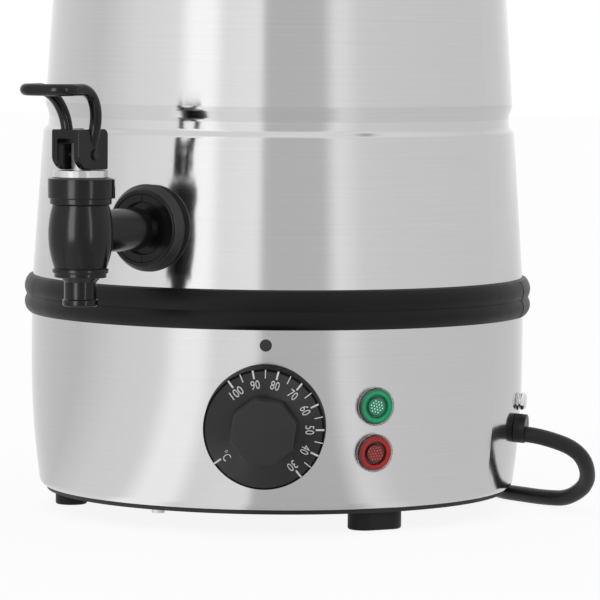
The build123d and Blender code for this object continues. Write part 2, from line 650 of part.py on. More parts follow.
def reset_button():
    foot = RESET_TRAVEL + CUTOUT_FLOOR_GAP - CUTOUT_BORE_DEPTH
    button = turned((0, foot), (RESET_BUTTON_RADIUS, foot, 0.5), (RESET_BUTTON_RADIUS, RESET_CAP_LOW),
                    (RESET_CAP_RADIUS, RESET_CAP_LOW, 0.4), (RESET_CAP_RADIUS, RESET_PROUD, 2.3),
                    (0, RESET_PROUD))
    return RESET_PLANE * button


def terminal_block():
    block = Pos(*TERMINAL_PLACE, BASE_EDGE_HEIGHT) * Box(
        TERMINAL_LENGTH, TERMINAL_WIDTH, TERMINAL_HEIGHT, align=(Align.CENTER, Align.CENTER, Align.MIN))
    for place in terminal_places():
        block -= place * disc(TERMINAL_SCREW_RADIUS, -TERMINAL_SCREW_LENGTH, 0)
    return block


def terminal_places():
    x, y = TERMINAL_PLACE
    top = BASE_EDGE_HEIGHT + TERMINAL_HEIGHT
    return [Pos(x + step * TERMINAL_LENGTH / 3, y, top) for step in (-1, 0, 1)]


def terminal_screws():
    return [place * disc(TERMINAL_SCREW_RADIUS, -TERMINAL_SCREW_LENGTH, 0) for place in terminal_places()]


# ---- Tank and heater ----
def tank():
    def wall(height, inward=0.0):
        return tank_wall(height) - inward

    def side(inset):
        """Corners from the band up to the rim, on the outside or on the inside of the sheet."""
        low_end, high_start = GROOVE_LOW + GROOVE_LOW_SLOPE, GROOVE_HIGH - GROOVE_HIGH_SLOPE
        return [
            (wall(GROOVE_LOW, inset), GROOVE_LOW, 2.5),
            (wall(low_end, inset + GROOVE_DEPTH), low_end, 3.0),
            (wall(high_start, inset + GROOVE_DEPTH), high_start, 5.0),
            (wall(GROOVE_HIGH, inset), GROOVE_HIGH, 7.0),
        ]

    floor, sheet, foot_radius = TANK_FLOOR_HEIGHT, TANK_WALL, TANK_FOOT_RADIUS
    rim = tank_wall(RIM_HEIGHT)
    bead_low = RIM_HEIGHT - 2 * RIM_BEAD
    body = turned(
        (0, floor), (foot_radius - sheet, floor, 0.0), (foot_radius - sheet, BASE_TOP_HEIGHT),
        (foot_radius, BASE_TOP_HEIGHT), (foot_radius, BAND_HIGH, 8.0), *side(0),
        (tank_wall(bead_low), bead_low), (rim + RIM_BEAD, bead_low, 1.8),
        (rim + RIM_BEAD, RIM_HEIGHT, 1.8), (rim - sheet, RIM_HEIGHT, 0.6),
        *reversed(side(sheet)), (foot_radius - sheet, BAND_HIGH, 8.0),
        (foot_radius - sheet, floor + sheet, 3.0), (0, floor + sheet),
    )
    body -= SHANK_PLANE * Pos(0, 0, tank_wall(TAP_HEIGHT)) * hole(SPIGOT_RADIUS)
    for place in handle_screw_places():
        body -= place * hole(HANDLE_SCREW_RADIUS)
    return body


def heater_plate():
    plate = disc(HEATER_PLATE_RADIUS, TANK_FLOOR_HEIGHT - HEATER_PLATE_THICKNESS, TANK_FLOOR_HEIGHT)
    return plate - disc(STUD_RADIUS, 0, TANK_FLOOR_HEIGHT)


def heater_element():
    height = heater_ring_height()
    ring = Pos(0, 0, height) * Torus(HEATER_RING_RADIUS, HEATER_TUBE_RADIUS)
    leg_end = height - HEATER_LEG_LENGTH
    leg = disc(HEATER_LEG_RADIUS, leg_end, height)
    leg += Pos(0, 0, leg_end - TAB_LENGTH / 2) * Box(TAB_WIDTH, TAB_THICKNESS, TAB_LENGTH)
    spread = math.degrees(math.asin(HEATER_LEG_SPREAD / HEATER_RING_RADIUS))
    for angle in (90 - spread, 90 + spread):
        ring += Rot(0, 0, angle) * Pos(HEATER_RING_RADIUS, 0, 0) * leg
    return ring


def heater_ring_height():
    return TANK_FLOOR_HEIGHT - HEATER_PLATE_THICKNESS - HEATER_TUBE_RADIUS - RUNNING_GAP


def clamp_top():
    return heater_ring_height() - HEATER_TUBE_RADIUS - RUNNING_GAP


def heater_clamp():
    clamp = Pos(0, 0, clamp_top() - CLAMP_THICKNESS / 2) * Box(CLAMP_LENGTH, CLAMP_WIDTH, CLAMP_THICKNESS)
    return clamp - disc(STUD_RADIUS, 0, TANK_FLOOR_HEIGHT)


def clamp_nut():
    low = clamp_top() - CLAMP_THICKNESS - CLAMP_NUT_THICKNESS
    nut = Pos(0, 0, low) * extrude(RegularPolygon(CLAMP_NUT_RADIUS, 6), CLAMP_NUT_THICKNESS)
    return nut - disc(STUD_RADIUS, 0, TANK_FLOOR_HEIGHT)


def tank_stud():
    return disc(STUD_RADIUS, clamp_top() - CLAMP_THICKNESS - STUD_PROUD, TANK_FLOOR_HEIGHT)


# ---- Tap ----
def gasket_face():
    """Where the tap's outer gasket ends, measured from the urn's axis."""
    return tank_wall(TAP_HEIGHT - GASKET_RADIUS) + GASKET_THICKNESS


def collar_floor():
    return gasket_face() + COLLAR_THICKNESS - COLLAR_CUP_DEPTH


def inner_gasket_face():
    radius = tank_wall(TAP_HEIGHT + INNER_GASKET_RADIUS) - TANK_WALL
    return radius - drop_across(radius, INNER_GASKET_RADIUS) - INNER_GASKET_THICKNESS


def tap_outer_gasket():
    face = gasket_face()
    back = face - GASKET_RADIUS / 2
    narrow, widest = GASKET_RADIUS - GASKET_TAPER, face - GASKET_EDGE
    web, cup = collar_floor() - COLLAR_WEB, COLLAR_CUP_RADIUS + COLLAR_WEB
    gasket = turned(
        (SPIGOT_RADIUS, back), (narrow, back), (narrow, widest - GASKET_TAPER),
        (GASKET_RADIUS, widest - 0.6, 0.6), (GASKET_RADIUS, widest, 0.4), (narrow, face, 0.3),
        (cup, face), (cup, web), (SPIGOT_RADIUS, web),
    )
    return SHANK_PLANE * gasket - tank_body(BAND_HIGH, GROOVE_LOW, RUNNING_GAP)


def tap_inner_gasket():
    face = inner_gasket_face()
    front = face + INNER_GASKET_RADIUS
    gasket = disc(INNER_GASKET_RADIUS, face, front) - disc(SPIGOT_RADIUS, face, front)
    return SHANK_PLANE * gasket & tank_body(BAND_HIGH, GROOVE_LOW, -TANK_WALL - RUNNING_GAP)


def tap_nut():
    low = inner_gasket_face() - TAP_NUT_THICKNESS
    nut = extrude(RegularPolygon(TAP_NUT_FLATS / 2, 6, major_radius=False), TAP_NUT_THICKNESS)
    return SHANK_PLANE * (Pos(0, 0, low) * nut - disc(SPIGOT_RADIUS, low, low + TAP_NUT_THICKNESS))


def tap_collar():
    """A hard cup sunk in the gasket, with a stepped rim over it."""
    face, floor = gasket_face(), collar_floor()
    front, web, cup = face + COLLAR_THICKNESS, floor - COLLAR_WEB, COLLAR_CUP_RADIUS
    step = front - COLLAR_STEP
    rim = COLLAR_RADIUS - COLLAR_RIM
    ring = turned(
        (SPIGOT_RADIUS, web), (cup + COLLAR_WEB, web), (cup + COLLAR_WEB, face), (COLLAR_RADIUS, face),
        (COLLAR_RADIUS, front, 0.5), (rim, front, 0.3), (rim - 0.3, step), (cup, step, 0.4),
        (cup, floor), (SPIGOT_RADIUS, floor),
    )
    return SHANK_PLANE * ring


def tap_body():
    """Barrel, spout and shank in one moulding, bored through to the spout."""
    ring_low, ring_step = SPOUT_TOP, (SPOUT_TOP + BARREL_BOTTOM) / 2
    ring_radius, lip_top = BARREL_END_RADIUS, SPOUT_BOTTOM + SPOUT_LIP_HEIGHT
    foot_corner, top_corner = (BARREL_FOOT_RADIUS, BARREL_BOTTOM), (BARREL_END_RADIUS, BARREL_TOP)
    outline = (
        Polyline((TAP_BORE_RADIUS, SPOUT_BOTTOM), (SPOUT_LIP_RADIUS, SPOUT_BOTTOM),
                 (SPOUT_LIP_RADIUS, lip_top), (SPOUT_RADIUS, lip_top + 0.6),
                 (SPOUT_RADIUS, SPOUT_TOP - 2.4), (SPOUT_RADIUS + 2, ring_low), (ring_radius - 1, ring_low),
                 (ring_radius - 1, ring_step), (ring_radius, ring_step), (ring_radius, BARREL_BOTTOM),
                 foot_corner)
        + ThreePointArc(foot_corner, (BARREL_RADIUS, TAP_HEIGHT), top_corner)
        + Polyline(top_corner, (CHAMBER_RADIUS, BARREL_TOP), (CHAMBER_RADIUS, CHAMBER_FLOOR),
                   (TAP_BORE_RADIUS, CHAMBER_FLOOR), (TAP_BORE_RADIUS, SPOUT_BOTTOM))
    )
    section = rounded(
        make_face(outline),
        ((SPOUT_LIP_RADIUS, SPOUT_BOTTOM), 0.8), ((SPOUT_LIP_RADIUS, lip_top), 0.6),
        ((ring_radius - 1, ring_low), 0.6), ((ring_radius, ring_step), 0.7),
        ((ring_radius, BARREL_BOTTOM), 0.6),
    )
    body = BARREL_PLACE * revolve(Plane.XZ * section, Axis.Z)
    inner_end = tank_wall(TAP_HEIGHT) - TANK_WALL - SPIGOT_LENGTH
    floor = collar_floor()
    shoulder = floor + SHANK_SHOULDER_LENGTH
    shank = disc(SPIGOT_RADIUS, inner_end, floor + 1)
    shank += turned((0, floor), (SHANK_END_RADIUS, floor), (SHANK_SHOULDER_RADIUS, shoulder, 6.0),
                    (SHANK_RADIUS, TAP_REACH), (0, TAP_REACH))
    body += SHANK_PLANE * shank
    body -= BARREL_PLACE * disc(CHAMBER_RADIUS, CHAMBER_FLOOR, BARREL_TOP)
    return body - SHANK_PLANE * disc(TAP_BORE_RADIUS, inner_end, TAP_REACH)


def tap_bonnet():
    bore, low, top = STEM_RADIUS + RUNNING_GAP, BARREL_TOP, BARREL_TOP + BONNET_HEIGHT
    bonnet = turned(
        (bore, low - BONNET_THREAD), (CHAMBER_RADIUS, low - BONNET_THREAD), (CHAMBER_RADIUS, low),
        (BONNET_NECK_RADIUS, low, 0.4), (BONNET_NECK_RADIUS, low + BONNET_NECK_HEIGHT),
        (BONNET_RADIUS - 0.1, low + BONNET_NECK_HEIGHT, 0.6), (BONNET_RADIUS, top - 0.6, 0.6),
        (RING_RADIUS + 1, top), (bore, top),
    )
    return BARREL_PLACE * bonnet


def tap_ring():
    low = BARREL_TOP + BONNET_HEIGHT
    bore = STEM_RADIUS + RUNNING_GAP
    return BARREL_PLACE * turned((bore, low), (RING_RADIUS, low, 0.4), (RING_RADIUS, low + RING_HEIGHT, 0.6),
                                 (bore, low + RING_HEIGHT))


def lever_pin():
    length = LEVER_WIDTH + 2 * BOSS_HEIGHT
    return LEVER_PLANE * disc(PIN_RADIUS, -length / 2, length / 2)


def tap_stem():
    stem = turned((0, STEM_FOOT_HEIGHT), (STEM_RADIUS, STEM_FOOT_HEIGHT), (STEM_RADIUS, STEM_TOP_HEIGHT, 1.0),
                  (0, STEM_TOP_HEIGHT))
    return BARREL_PLACE * stem - lever_pin()


def seat_cup():
    low = CHAMBER_FLOOR + RUNNING_GAP
    high = STEM_FOOT_HEIGHT + CUP_COVER
    cup = turned((0, low), (CUP_RADIUS - 1, low, 1.0), (CUP_RADIUS, low + CUP_EDGE_HEIGHT, 1.0),
                 (CUP_RADIUS, high, 0.5), (STEM_RADIUS, high),
                 (STEM_RADIUS, STEM_FOOT_HEIGHT), (0, STEM_FOOT_HEIGHT))
    return BARREL_PLACE * cup


def tap_spring():
    low = STEM_FOOT_HEIGHT + CUP_COVER + SPRING_WIRE_RADIUS + RUNNING_GAP
    high = BARREL_TOP - BONNET_THREAD - SPRING_WIRE_RADIUS - RUNNING_GAP
    line = Helix((high - low) / SPRING_TURNS, high - low, SPRING_COIL_RADIUS)
    wire = sweep(Plane(line @ 0, z_dir=line % 0) * Circle(SPRING_WIRE_RADIUS), path=line, is_frenet=True)
    return BARREL_PLACE * Pos(0, 0, low) * wire


def tap_lever():
    """Two cam plates on the stem's pin with a closed finger loop. The front lower edge is an involute,
    so the stem rises in proportion to the lever's angle."""
    rest = PIN_HEIGHT - (BARREL_TOP + BONNET_HEIGHT + RING_HEIGHT) - CAM_CLEARANCE

    def cam(degrees):
        turn = math.radians(degrees)
        reach, across, up = rest + CAM_RATE * turn, math.sin(turn), math.cos(turn)
        return (reach * across + CAM_RATE * up, CAM_RATE * across - reach * up)

    end = math.radians(CAM_END_TURN)
    heading = (math.cos(end), math.sin(end))
    edge = Spline([cam(CAM_END_TURN * step / 6) for step in range(7)], tangents=[(1, 0), heading])
    edge += JernArc(cam(CAM_END_TURN), heading, CAM_END_RADIUS, 90 - CAM_END_TURN)
    front, front_low = (edge @ 1).X, (edge @ 1).Y
    outline = edge + Polyline((front, front_low), (front, LEVER_TOP), (-LEVER_REAR, LEVER_TOP),
                              (-LEVER_REAR, -rest), cam(0))
    plate = rounded(make_face(outline), ((-LEVER_REAR, LEVER_TOP), LEVER_REAR_ROUND),
                    ((-LEVER_REAR, -rest), 0.8), ((front, LEVER_TOP), 0.8))
    thickness = (LEVER_WIDTH - LEVER_GAP) / 2
    near_plate = Pos(0, 0, LEVER_GAP / 2) * extrude(plate, thickness)
    near_plate = fillet(near_plate.faces().sort_by(Axis.Z)[-1].edges(), LEVER_EDGE_ROUND)
    lever = near_plate + mirror(near_plate, Plane.XY)
    arm = [(0, ARM_FOOT_RISE, ARM_FOOT_WIDTH), (ARM_KNEE_FORWARD, ARM_KNEE_RISE, ARM_KNEE_WIDTH),
           (ARM_CORNER_FORWARD, LOOP_HEIGHT, ARM_CORNER_WIDTH), (LOOP_REACH, LOOP_HEIGHT, LOOP_HALF_WIDTH)]
    other_arm = [(x, y, -z) for x, y, z in reversed(arm)]
    path = FilletPolyline(*arm, *other_arm, radius=[*LOOP_BENDS, *reversed(LOOP_BENDS)])
    slot = Pos(0, (LEVER_TOP - rest) / 2, 0) * Box(2 * front, LEVER_TOP + rest, LEVER_GAP)
    lever += bar(path, LOOP_BAR_RADIUS) - slot
    bridge_back = STEM_RADIUS + LEVER_STEM_GAP
    bridge = Box(front - bridge_back, LEVER_BRIDGE_HEIGHT, LEVER_GAP)
    lever += Pos((front + bridge_back) / 2, LEVER_TOP - LEVER_BRIDGE_HEIGHT / 2, 0) * bridge
    for low in (LEVER_WIDTH / 2, -LEVER_WIDTH / 2 - BOSS_HEIGHT):
        lever += disc(BOSS_RADIUS, low, low + BOSS_HEIGHT)
    return LEVER_PLANE * (lever - disc(PIN_RADIUS + RUNNING_GAP, -2 * LEVER_WIDTH, 2 * LEVER_WIDTH))


# ---- Handles ----
def handle_end_angle():
    """Angle between a handle's middle and its screws, seen from the urn's axis."""
    return math.degrees(math.asin((HANDLE_SPAN / 2) / tank_wall(HANDLE_HEIGHT)))


def handle_screw_places(names=tuple(HANDLE_ANGLES)):
    """Planes on the tank's outside where the handles' screws come through."""
    lean, radius = -math.degrees(math.atan(TANK_TAPER)), tank_wall(HANDLE_HEIGHT)
    angles = [HANDLE_ANGLES[name] + side * handle_end_angle() for name in names for side in (-1, 1)]
    return [facing_out(angle, HANDLE_HEIGHT, radius, lean) for angle in angles]


def handle_pad(name, side, width, height, low, high):
    """A block over one end of a handle, from low to high outside the urn's axis."""
    angle = HANDLE_ANGLES[name]
    block = Box(width, height, high - low, align=(Align.CENTER, Align.CENTER, Align.MIN))
    return facing_out(angle, HANDLE_HEIGHT, 0) * Pos(side * HANDLE_SPAN / 2, 0, low) * block


def handle(name):
    radius = tank_wall(HANDLE_HEIGHT)
    half, outer = HANDLE_SPAN / 2, radius + HANDLE_REACH - HANDLE_THICKNESS / 2
    start = radius - drop_across(radius, half) - HANDLE_FOOT_DEPTH
    plane = facing_out(HANDLE_ANGLES[name], HANDLE_HEIGHT, 0)
    grip_half = half - HANDLE_SPLAY
    path = FilletPolyline((-half, 0, start), (-grip_half, 0, outer), (grip_half, 0, outer), (half, 0, start),
                          radius=HANDLE_BEND)
    section = Ellipse(HANDLE_THICKNESS / 2, HANDLE_DEPTH / 2)
    grip = plane * sweep(Plane(path @ 0, x_dir=(1, 0, 0), z_dir=path % 0) * section, path=path)
    for side in (-1, 1):
        pad = handle_pad(name, side, HANDLE_PAD_WIDTH, BRACKET_HEIGHT - 2 * HANDLE_PAD_EDGE,
                         start, start + HANDLE_PAD_DEPTH)
        grip += fillet(pad.edges(), HANDLE_PAD_ROUND)
    grip -= tank_body(HANDLE_HEIGHT - BRACKET_HEIGHT, HANDLE_HEIGHT + BRACKET_HEIGHT, BRACKET_THICKNESS)
    for place in handle_screw_places([name]):
        grip -= place * disc(HANDLE_SCREW_RADIUS, -HOLE_REACH, HANDLE_SCREW_GRIP)
    return grip


def handle_brackets(name):
    low, high = HANDLE_HEIGHT - BRACKET_HEIGHT / 2, HANDLE_HEIGHT + BRACKET_HEIGHT / 2
    skin = tank_body(low, high, BRACKET_THICKNESS) - tank_body(low, high)
    radius = tank_wall(HANDLE_HEIGHT)
    brackets = []
    for side, place in zip((-1, 1), handle_screw_places([name])):
        block = handle_pad(name, side, HANDLE_PAD_WIDTH + 2 * HANDLE_PAD_EDGE, BRACKET_HEIGHT,
                           radius / 2, 2 * radius)
        brackets.append((skin & block) - place * hole(HANDLE_SCREW_RADIUS))
    return brackets


def handle_screws(name):
    """Domed screws put in from the inside of the tank."""
    seat = -TANK_WALL - SHEET_SEAT_GAP
    low, radius = seat - HANDLE_SCREW_HEAD_HEIGHT, HANDLE_SCREW_HEAD_RADIUS
    shank = disc(HANDLE_SCREW_RADIUS, seat, HANDLE_SCREW_GRIP)
    head = turned((0, seat), (radius, seat), (radius, low, 1.8), (0, low))
    return [place * (shank + head) for place in handle_screw_places([name])]


# ---- Lid ----
def lid_top():
    return RIM_HEIGHT + LID_DOME_HEIGHT


def lid():
    seat, sheet = RIM_HEIGHT + RUNNING_GAP, LID_SHEET
    edge = tank_wall(RIM_HEIGHT) + LID_OVERHANG
    skirt = tank_wall(RIM_HEIGHT) - TANK_WALL - LID_SKIRT_GAP
    dome, step, top = skirt - LID_STEP_WIDTH, seat + LID_STEP_HEIGHT, lid_top()
    halfway = step + LID_DOME_FULLNESS * (top - step)
    outer = Polyline((edge, seat + sheet), (dome + 2 * sheet, seat + sheet), (dome, step))
    outer += ThreePointArc((dome, step), (dome / 2, halfway), (0, top))
    inner = ThreePointArc((0, top - sheet), (dome / 2, halfway - sheet), (dome - sheet, step - sheet))
    inner += Polyline((dome - sheet, step - sheet), (dome, seat), (edge, seat), (edge, seat + sheet))
    section = make_face(outer + Line((0, top), (0, top - sheet)) + inner)
    body = revolve(Plane.XZ * section, Axis.Z)
    body += turned((skirt - sheet, seat - LID_SKIRT_DEPTH), (skirt, seat - LID_SKIRT_DEPTH),
                   (skirt, seat + sheet / 2), (skirt - sheet, seat + sheet / 2))
    body -= disc(LID_SCREW_RADIUS, seat, top + 1)
    return body - Pos(0, -VENT_PLACE, 0) * disc(VENT_RADIUS, seat, top + 1)


def lid_screw():
    washer = lid_washer_low()
    length = LID_KNOB_HEIGHT / 2
    low = washer - LID_SCREW_HEAD_HEIGHT
    head = turned((0, low), (LID_SCREW_HEAD_RADIUS, low, 1.2), (LID_SCREW_HEAD_RADIUS, washer), (0, washer))
    return head + disc(LID_SCREW_RADIUS, washer, lid_top() + length)


def lid_washer_low():
    return lid_top() - LID_SHEET - RUNNING_GAP - LID_WASHER_THICKNESS


def lid_washer():
    low = lid_washer_low()
    return disc(LID_WASHER_RADIUS, low, low + LID_WASHER_THICKNESS) - disc(LID_SCREW_RADIUS, low, lid_top())


def lid_knob():
    low, radius, stem = lid_top(), LID_KNOB_RADIUS, LID_KNOB_STEM_RADIUS
    top = low + LID_KNOB_HEIGHT
    body = turned((0, low), (stem + 2, low, 1.0), (stem - 1.5, low + 7, 6.0), (stem, low + LID_KNOB_WAIST, 8.0),
                  (radius, top - LID_KNOB_CROWN, 4.0), (radius - 2, top, 8.0), (0, top))
    return body - lid_screw()


# ---- Mains cord ----
def cord_points():
    exit_point = (GLAND_PLANE * Pos(0, CORD_EXIT_OFFSET, GLAND_PROUD)).position
    first = (GLAND_PLANE * Pos(0, CORD_EXIT_OFFSET, GLAND_PROUD + CORD_FIRST_RUN)).position
    x, y = COIL_CENTRE
    reach = COIL_MID_RADIUS + CORD_RADIUS
    angle = math.radians(COIL_ENTRY_ANGLE)
    last = Vector(x + reach * math.cos(angle), y + reach * math.sin(angle), CORD_RADIUS)
    return [exit_point, first, *[Vector(*point) for point in CORD_ROUTE], last]


def tail_points():
    x, y = COIL_CENTRE
    start = Vector(x - COIL_MID_RADIUS - CORD_RADIUS, y, 3 * CORD_RADIUS)
    return [start, *[Vector(*point) for point in TAIL_ROUTE], Vector(*PLUG_PLACE)]


def cord_tube(name, points):
    """A tube along a route: each corner's arc takes 0.45 of its shorter run."""
    radii = []
    for before, corner, after in zip(points, points[1:], points[2:]):
        run_in, run_out = corner - before, after - corner
        turn = math.radians(run_in.get_angle(run_out))
        radii.append(0.45 * min(run_in.length, run_out.length) / math.tan(turn / 2))
    path = FilletPolyline(*points, radius=radii)
    solid = bar(path, CORD_RADIUS)
    print(name, "length", round(path.length, 1), "bend radii", [round(radius, 1) for radius in radii],
          "volume over section times length",
          round(solid.volume / (math.pi * CORD_RADIUS**2 * path.length), 5))
    return solid


def cord_coil():
    half = COIL_SECTION / 2
    inner, outer = COIL_MID_RADIUS - half, COIL_MID_RADIUS + half
    ring = turned((inner, 0, 3.0), (outer, 0, 3.0), (outer, COIL_SECTION, 3.0), (inner, COIL_SECTION, 3.0))
    return Pos(*COIL_CENTRE, 0) * ring


def plug_plane():
    x, y, _ = PLUG_HEADING
    return Plane(origin=PLUG_PLACE, x_dir=(-y, x, 0), z_dir=PLUG_HEADING)


def plug_body():
    neck, end = PLUG_NECK_LENGTH, PLUG_NECK_LENGTH + PLUG_LENGTH
    shoulder = neck + PLUG_SHOULDER_LENGTH
    body = turned((0, 0), (CORD_RADIUS + PLUG_NECK_WALL, 0), (CORD_RADIUS + PLUG_NECK_FLARE, neck),
                  (PLUG_RADIUS - 5, neck + 3, 4.0), (PLUG_RADIUS, shoulder, 8.0), (PLUG_RADIUS, end, 1.5),
                  (0, end))
    return plug_plane() * body


def plug_pins():
    end = PLUG_NECK_LENGTH + PLUG_LENGTH
    pin = turned((0, end), (PLUG_PIN_RADIUS, end), (PLUG_PIN_RADIUS, end + PLUG_PIN_LENGTH, 1.8),
                 (0, end + PLUG_PIN_LENGTH))
    return [plug_plane() * Pos(side * PLUG_PIN_SPACING / 2, 0, 0) * pin for side in (-1, 1)]


# ---- Writing the parts ----
def solids_of(piece):
    """One shape from a piece, or from a list of separate solids."""
    pieces = piece if isinstance(piece, list) else [piece]
    solids = [solid for one in pieces for solid in one.solids()]
    return solids[0] if len(solids) == 1 else Compound(children=solids)


parts = {
    "base_shell": base_shell(),
    "base_plate": base_plate(),
    "base_plate_screws": base_plate_screws(),
    "foot_screws": foot_screws(),
    "trim_band": trim_band(),
    "index_dot": index_dot(),
    "control_knob": knob(),
    "thermostat_shaft": thermostat_shaft(),
    "thermostat_body": thermostat_body(),
    "thermostat_screws": thermostat_screws(),
    "capillary_and_bulb": capillary(),
    "lamp_bezels": lamp_bezels(),
    "lamp_bodies": lamp_bodies(),
    "lamp_clips": lamp_clips(),
    "cord_gland": cord_gland(),
    "gland_nut": gland_nut(),
    "cutout_body": cutout_body(),
    "cutout_nut": cutout_nut(),
    "reset_button": reset_button(),
    "terminal_block": terminal_block(),
    "terminal_screws": terminal_screws(),
    "tank": tank(),
    "tank_stud": tank_stud(),
    "heater_plate": heater_plate(),
    "heater_element": heater_element(),
    "heater_clamp": heater_clamp(),
    "clamp_nut": clamp_nut(),
    "tap_outer_gasket": tap_outer_gasket(),
    "tap_inner_gasket": tap_inner_gasket(),
    "tap_nut": tap_nut(),
    "tap_collar": tap_collar(),
    "tap_body": tap_body(),
    "tap_bonnet": tap_bonnet(),
    "tap_ring": tap_ring(),
    "tap_stem": tap_stem(),
    "seat_cup": seat_cup(),
    "tap_spring": tap_spring(),
    "lever_pin": lever_pin(),
    "tap_lever": tap_lever(),
    "lid": lid(),
    "lid_screw": lid_screw(),
    "lid_washer": lid_washer(),
    "lid_knob": lid_knob(),
    "cord": cord_tube("cord", cord_points()),
    "cord_coil": cord_coil(),
    "cord_tail": cord_tube("cord_tail", tail_points()),
    "plug_body": plug_body(),
    "plug_pins": plug_pins(),
}
for number, angle in enumerate(FOOT_ANGLES, start=1):
    parts[f"foot_{number}"] = on_foot(angle, foot())
for colour, height in LAMP_HEIGHTS.items():
    parts[f"{colour}_lamp_lens"] = lamp_lens(height)
for name in HANDLE_ANGLES:
    parts[f"{name}_handle"] = handle(name)
    parts[f"{name}_handle_brackets"] = handle_brackets(name)
    parts[f"{name}_handle_screws"] = handle_screws(name)

os.makedirs("parts", exist_ok=True)
for name, piece in parts.items():
    export_step(solids_of(piece), f"parts/{name}.step")
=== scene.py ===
import math
import bmesh
import bpy
from mathutils import Matrix, Vector


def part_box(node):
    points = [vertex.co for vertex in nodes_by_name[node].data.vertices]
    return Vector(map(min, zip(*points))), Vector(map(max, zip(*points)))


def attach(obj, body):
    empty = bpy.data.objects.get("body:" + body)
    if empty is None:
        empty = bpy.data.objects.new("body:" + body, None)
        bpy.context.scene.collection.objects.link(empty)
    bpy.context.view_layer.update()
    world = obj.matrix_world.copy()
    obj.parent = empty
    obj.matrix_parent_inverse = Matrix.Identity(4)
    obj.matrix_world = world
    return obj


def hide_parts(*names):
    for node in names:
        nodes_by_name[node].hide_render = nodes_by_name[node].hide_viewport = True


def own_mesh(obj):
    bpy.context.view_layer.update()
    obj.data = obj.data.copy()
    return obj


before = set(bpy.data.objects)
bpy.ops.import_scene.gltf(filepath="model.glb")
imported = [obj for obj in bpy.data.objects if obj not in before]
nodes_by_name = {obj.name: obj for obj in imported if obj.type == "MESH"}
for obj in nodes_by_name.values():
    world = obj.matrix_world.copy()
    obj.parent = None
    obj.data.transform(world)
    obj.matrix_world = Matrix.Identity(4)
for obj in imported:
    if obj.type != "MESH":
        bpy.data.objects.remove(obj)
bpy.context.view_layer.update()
MM = 0.001

# ---- Sizes in millimetres, as in the solids, and degrees from the tap towards the lamps ----
# The lamps stand 0.2 degrees further round than in the solids, after the photo.
BASE_RADIUS, DRAW_IN_HEIGHT, DRAW_IN_RADIUS = 140, 84, 480
KNOB_ANGLE, KNOB_HEIGHT = 28, 60
DIAL_BACK, DIAL_FACE, DIAL_BACK_RADIUS, DIAL_RADIUS = 1.3, 17.3, 32.9, 32.6
GRIP_RADIUS, GRIP_HEIGHT, GRIP_TURN, GRIP_SIDES, GRIP_DRAFT = 18.6, 12.5, 14.7, 8, 0.33
LAMP_ANGLE, LAMPS = 52.7, {"green": 69.8, "red": 44.5}
GLAND_ANGLE, GLAND_HEIGHT, GLAND_PROUD = 107, 48.7, 6.3
CORD_RADIUS, CORD_DROP, CORD_FIRST_RUN = 4.5, -3.1, 9.0
TAP_REACH, TAP_HEIGHT = 205, 164.7
PLUG_PLACE, PLUG_HEADING = (-120.0, 161.0, 18.5), Vector((-0.3, -0.954, 0)).normalized()


# ---- Helpers ----
def wall_frame(angle, height, radius, tilt):
    """Local frame on the urn's side: x to the right along the wall, y up, z outward."""
    a, t = math.radians(angle), math.radians(tilt)
    z = Vector((math.sin(a) * math.cos(t), -math.cos(a) * math.cos(t), -math.sin(t)))
    x = Vector((math.cos(a), math.sin(a), 0))
    rows = Matrix((x, z.cross(x), z)).transposed().to_4x4()
    rows.translation = Vector((radius * math.sin(a), -radius * math.cos(a), height)) * MM
    return rows


def on_base(angle, height):
    """Frame on the base's wall, which curves in below DRAW_IN_HEIGHT."""
    below = max(0.0, DRAW_IN_HEIGHT - height)
    radius = BASE_RADIUS - DRAW_IN_RADIUS + math.sqrt(DRAW_IN_RADIUS**2 - below**2)
    return wall_frame(angle, height, radius, math.degrees(math.asin(below / DRAW_IN_RADIUS)))


def upright(x, y, z=0.0):
    return Matrix.Translation(Vector((x, y, z)) * MM)


def put(name, bm, place, material, body="urn", smooth=30):
    """Turns a bmesh in millimetres into a piece that rides on a body."""
    bmesh.ops.recalc_face_normals(bm, faces=bm.faces)
    bm.transform(place @ Matrix.Scale(MM, 4))
    mesh = bpy.data.meshes.new(name)
    bm.to_mesh(mesh)
    bm.free()
    if smooth:
        mesh.shade_smooth()
        mesh.set_sharp_from_angle(angle=math.radians(smooth))
    mesh.materials.append(material)
    piece = bpy.data.objects.new(name, mesh)
    bpy.context.scene.collection.objects.link(piece)
    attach(piece, body)
    return piece


def lathe(bm, profile, steps):
    """Turns a closed profile of (radius, height) about local Z. A point at radius 0 becomes one vertex."""
    rings = []
    for r, h in profile:
        if r < 1e-6:
            rings.append([bm.verts.new((0, 0, h))])
        else:
            turns = [k * math.tau / steps for k in range(steps)]
            rings.append([bm.verts.new((r * math.cos(a), r * math.sin(a), h)) for a in turns])
    for low, high in zip(rings, rings[1:] + rings[:1]):
        for k in range(steps):
            j = (k + 1) % steps
            corners = [low[k % len(low)], low[j % len(low)], high[j % len(high)], high[k % len(high)]]
            face = [v for i, v in enumerate(corners) if v not in corners[:i]]
            if len(face) > 2:
                bm.faces.new(face)


def block(bm, low, high, place=Matrix.Identity(4)):
    """A box between two corners."""
    for v in bmesh.ops.create_cube(bm, size=1)["verts"]:
        v.co = place @ Vector([low[i] + (v.co[i] + 0.5) * (high[i] - low[i]) for i in range(3)])


def skin(bm, loops, closed):
    """Faces between loops of equal count, each loop closed in itself."""
    for a, b in zip(loops, loops[1:] + loops[:1] if closed else loops[1:]):
        for k in range(len(a)):
            j = (k + 1) % len(a)
            bm.faces.new((a[k], a[j], b[j], b[k]))
    if not closed:
        bm.faces.new(loops[0])
        bm.faces.new(loops[-1])


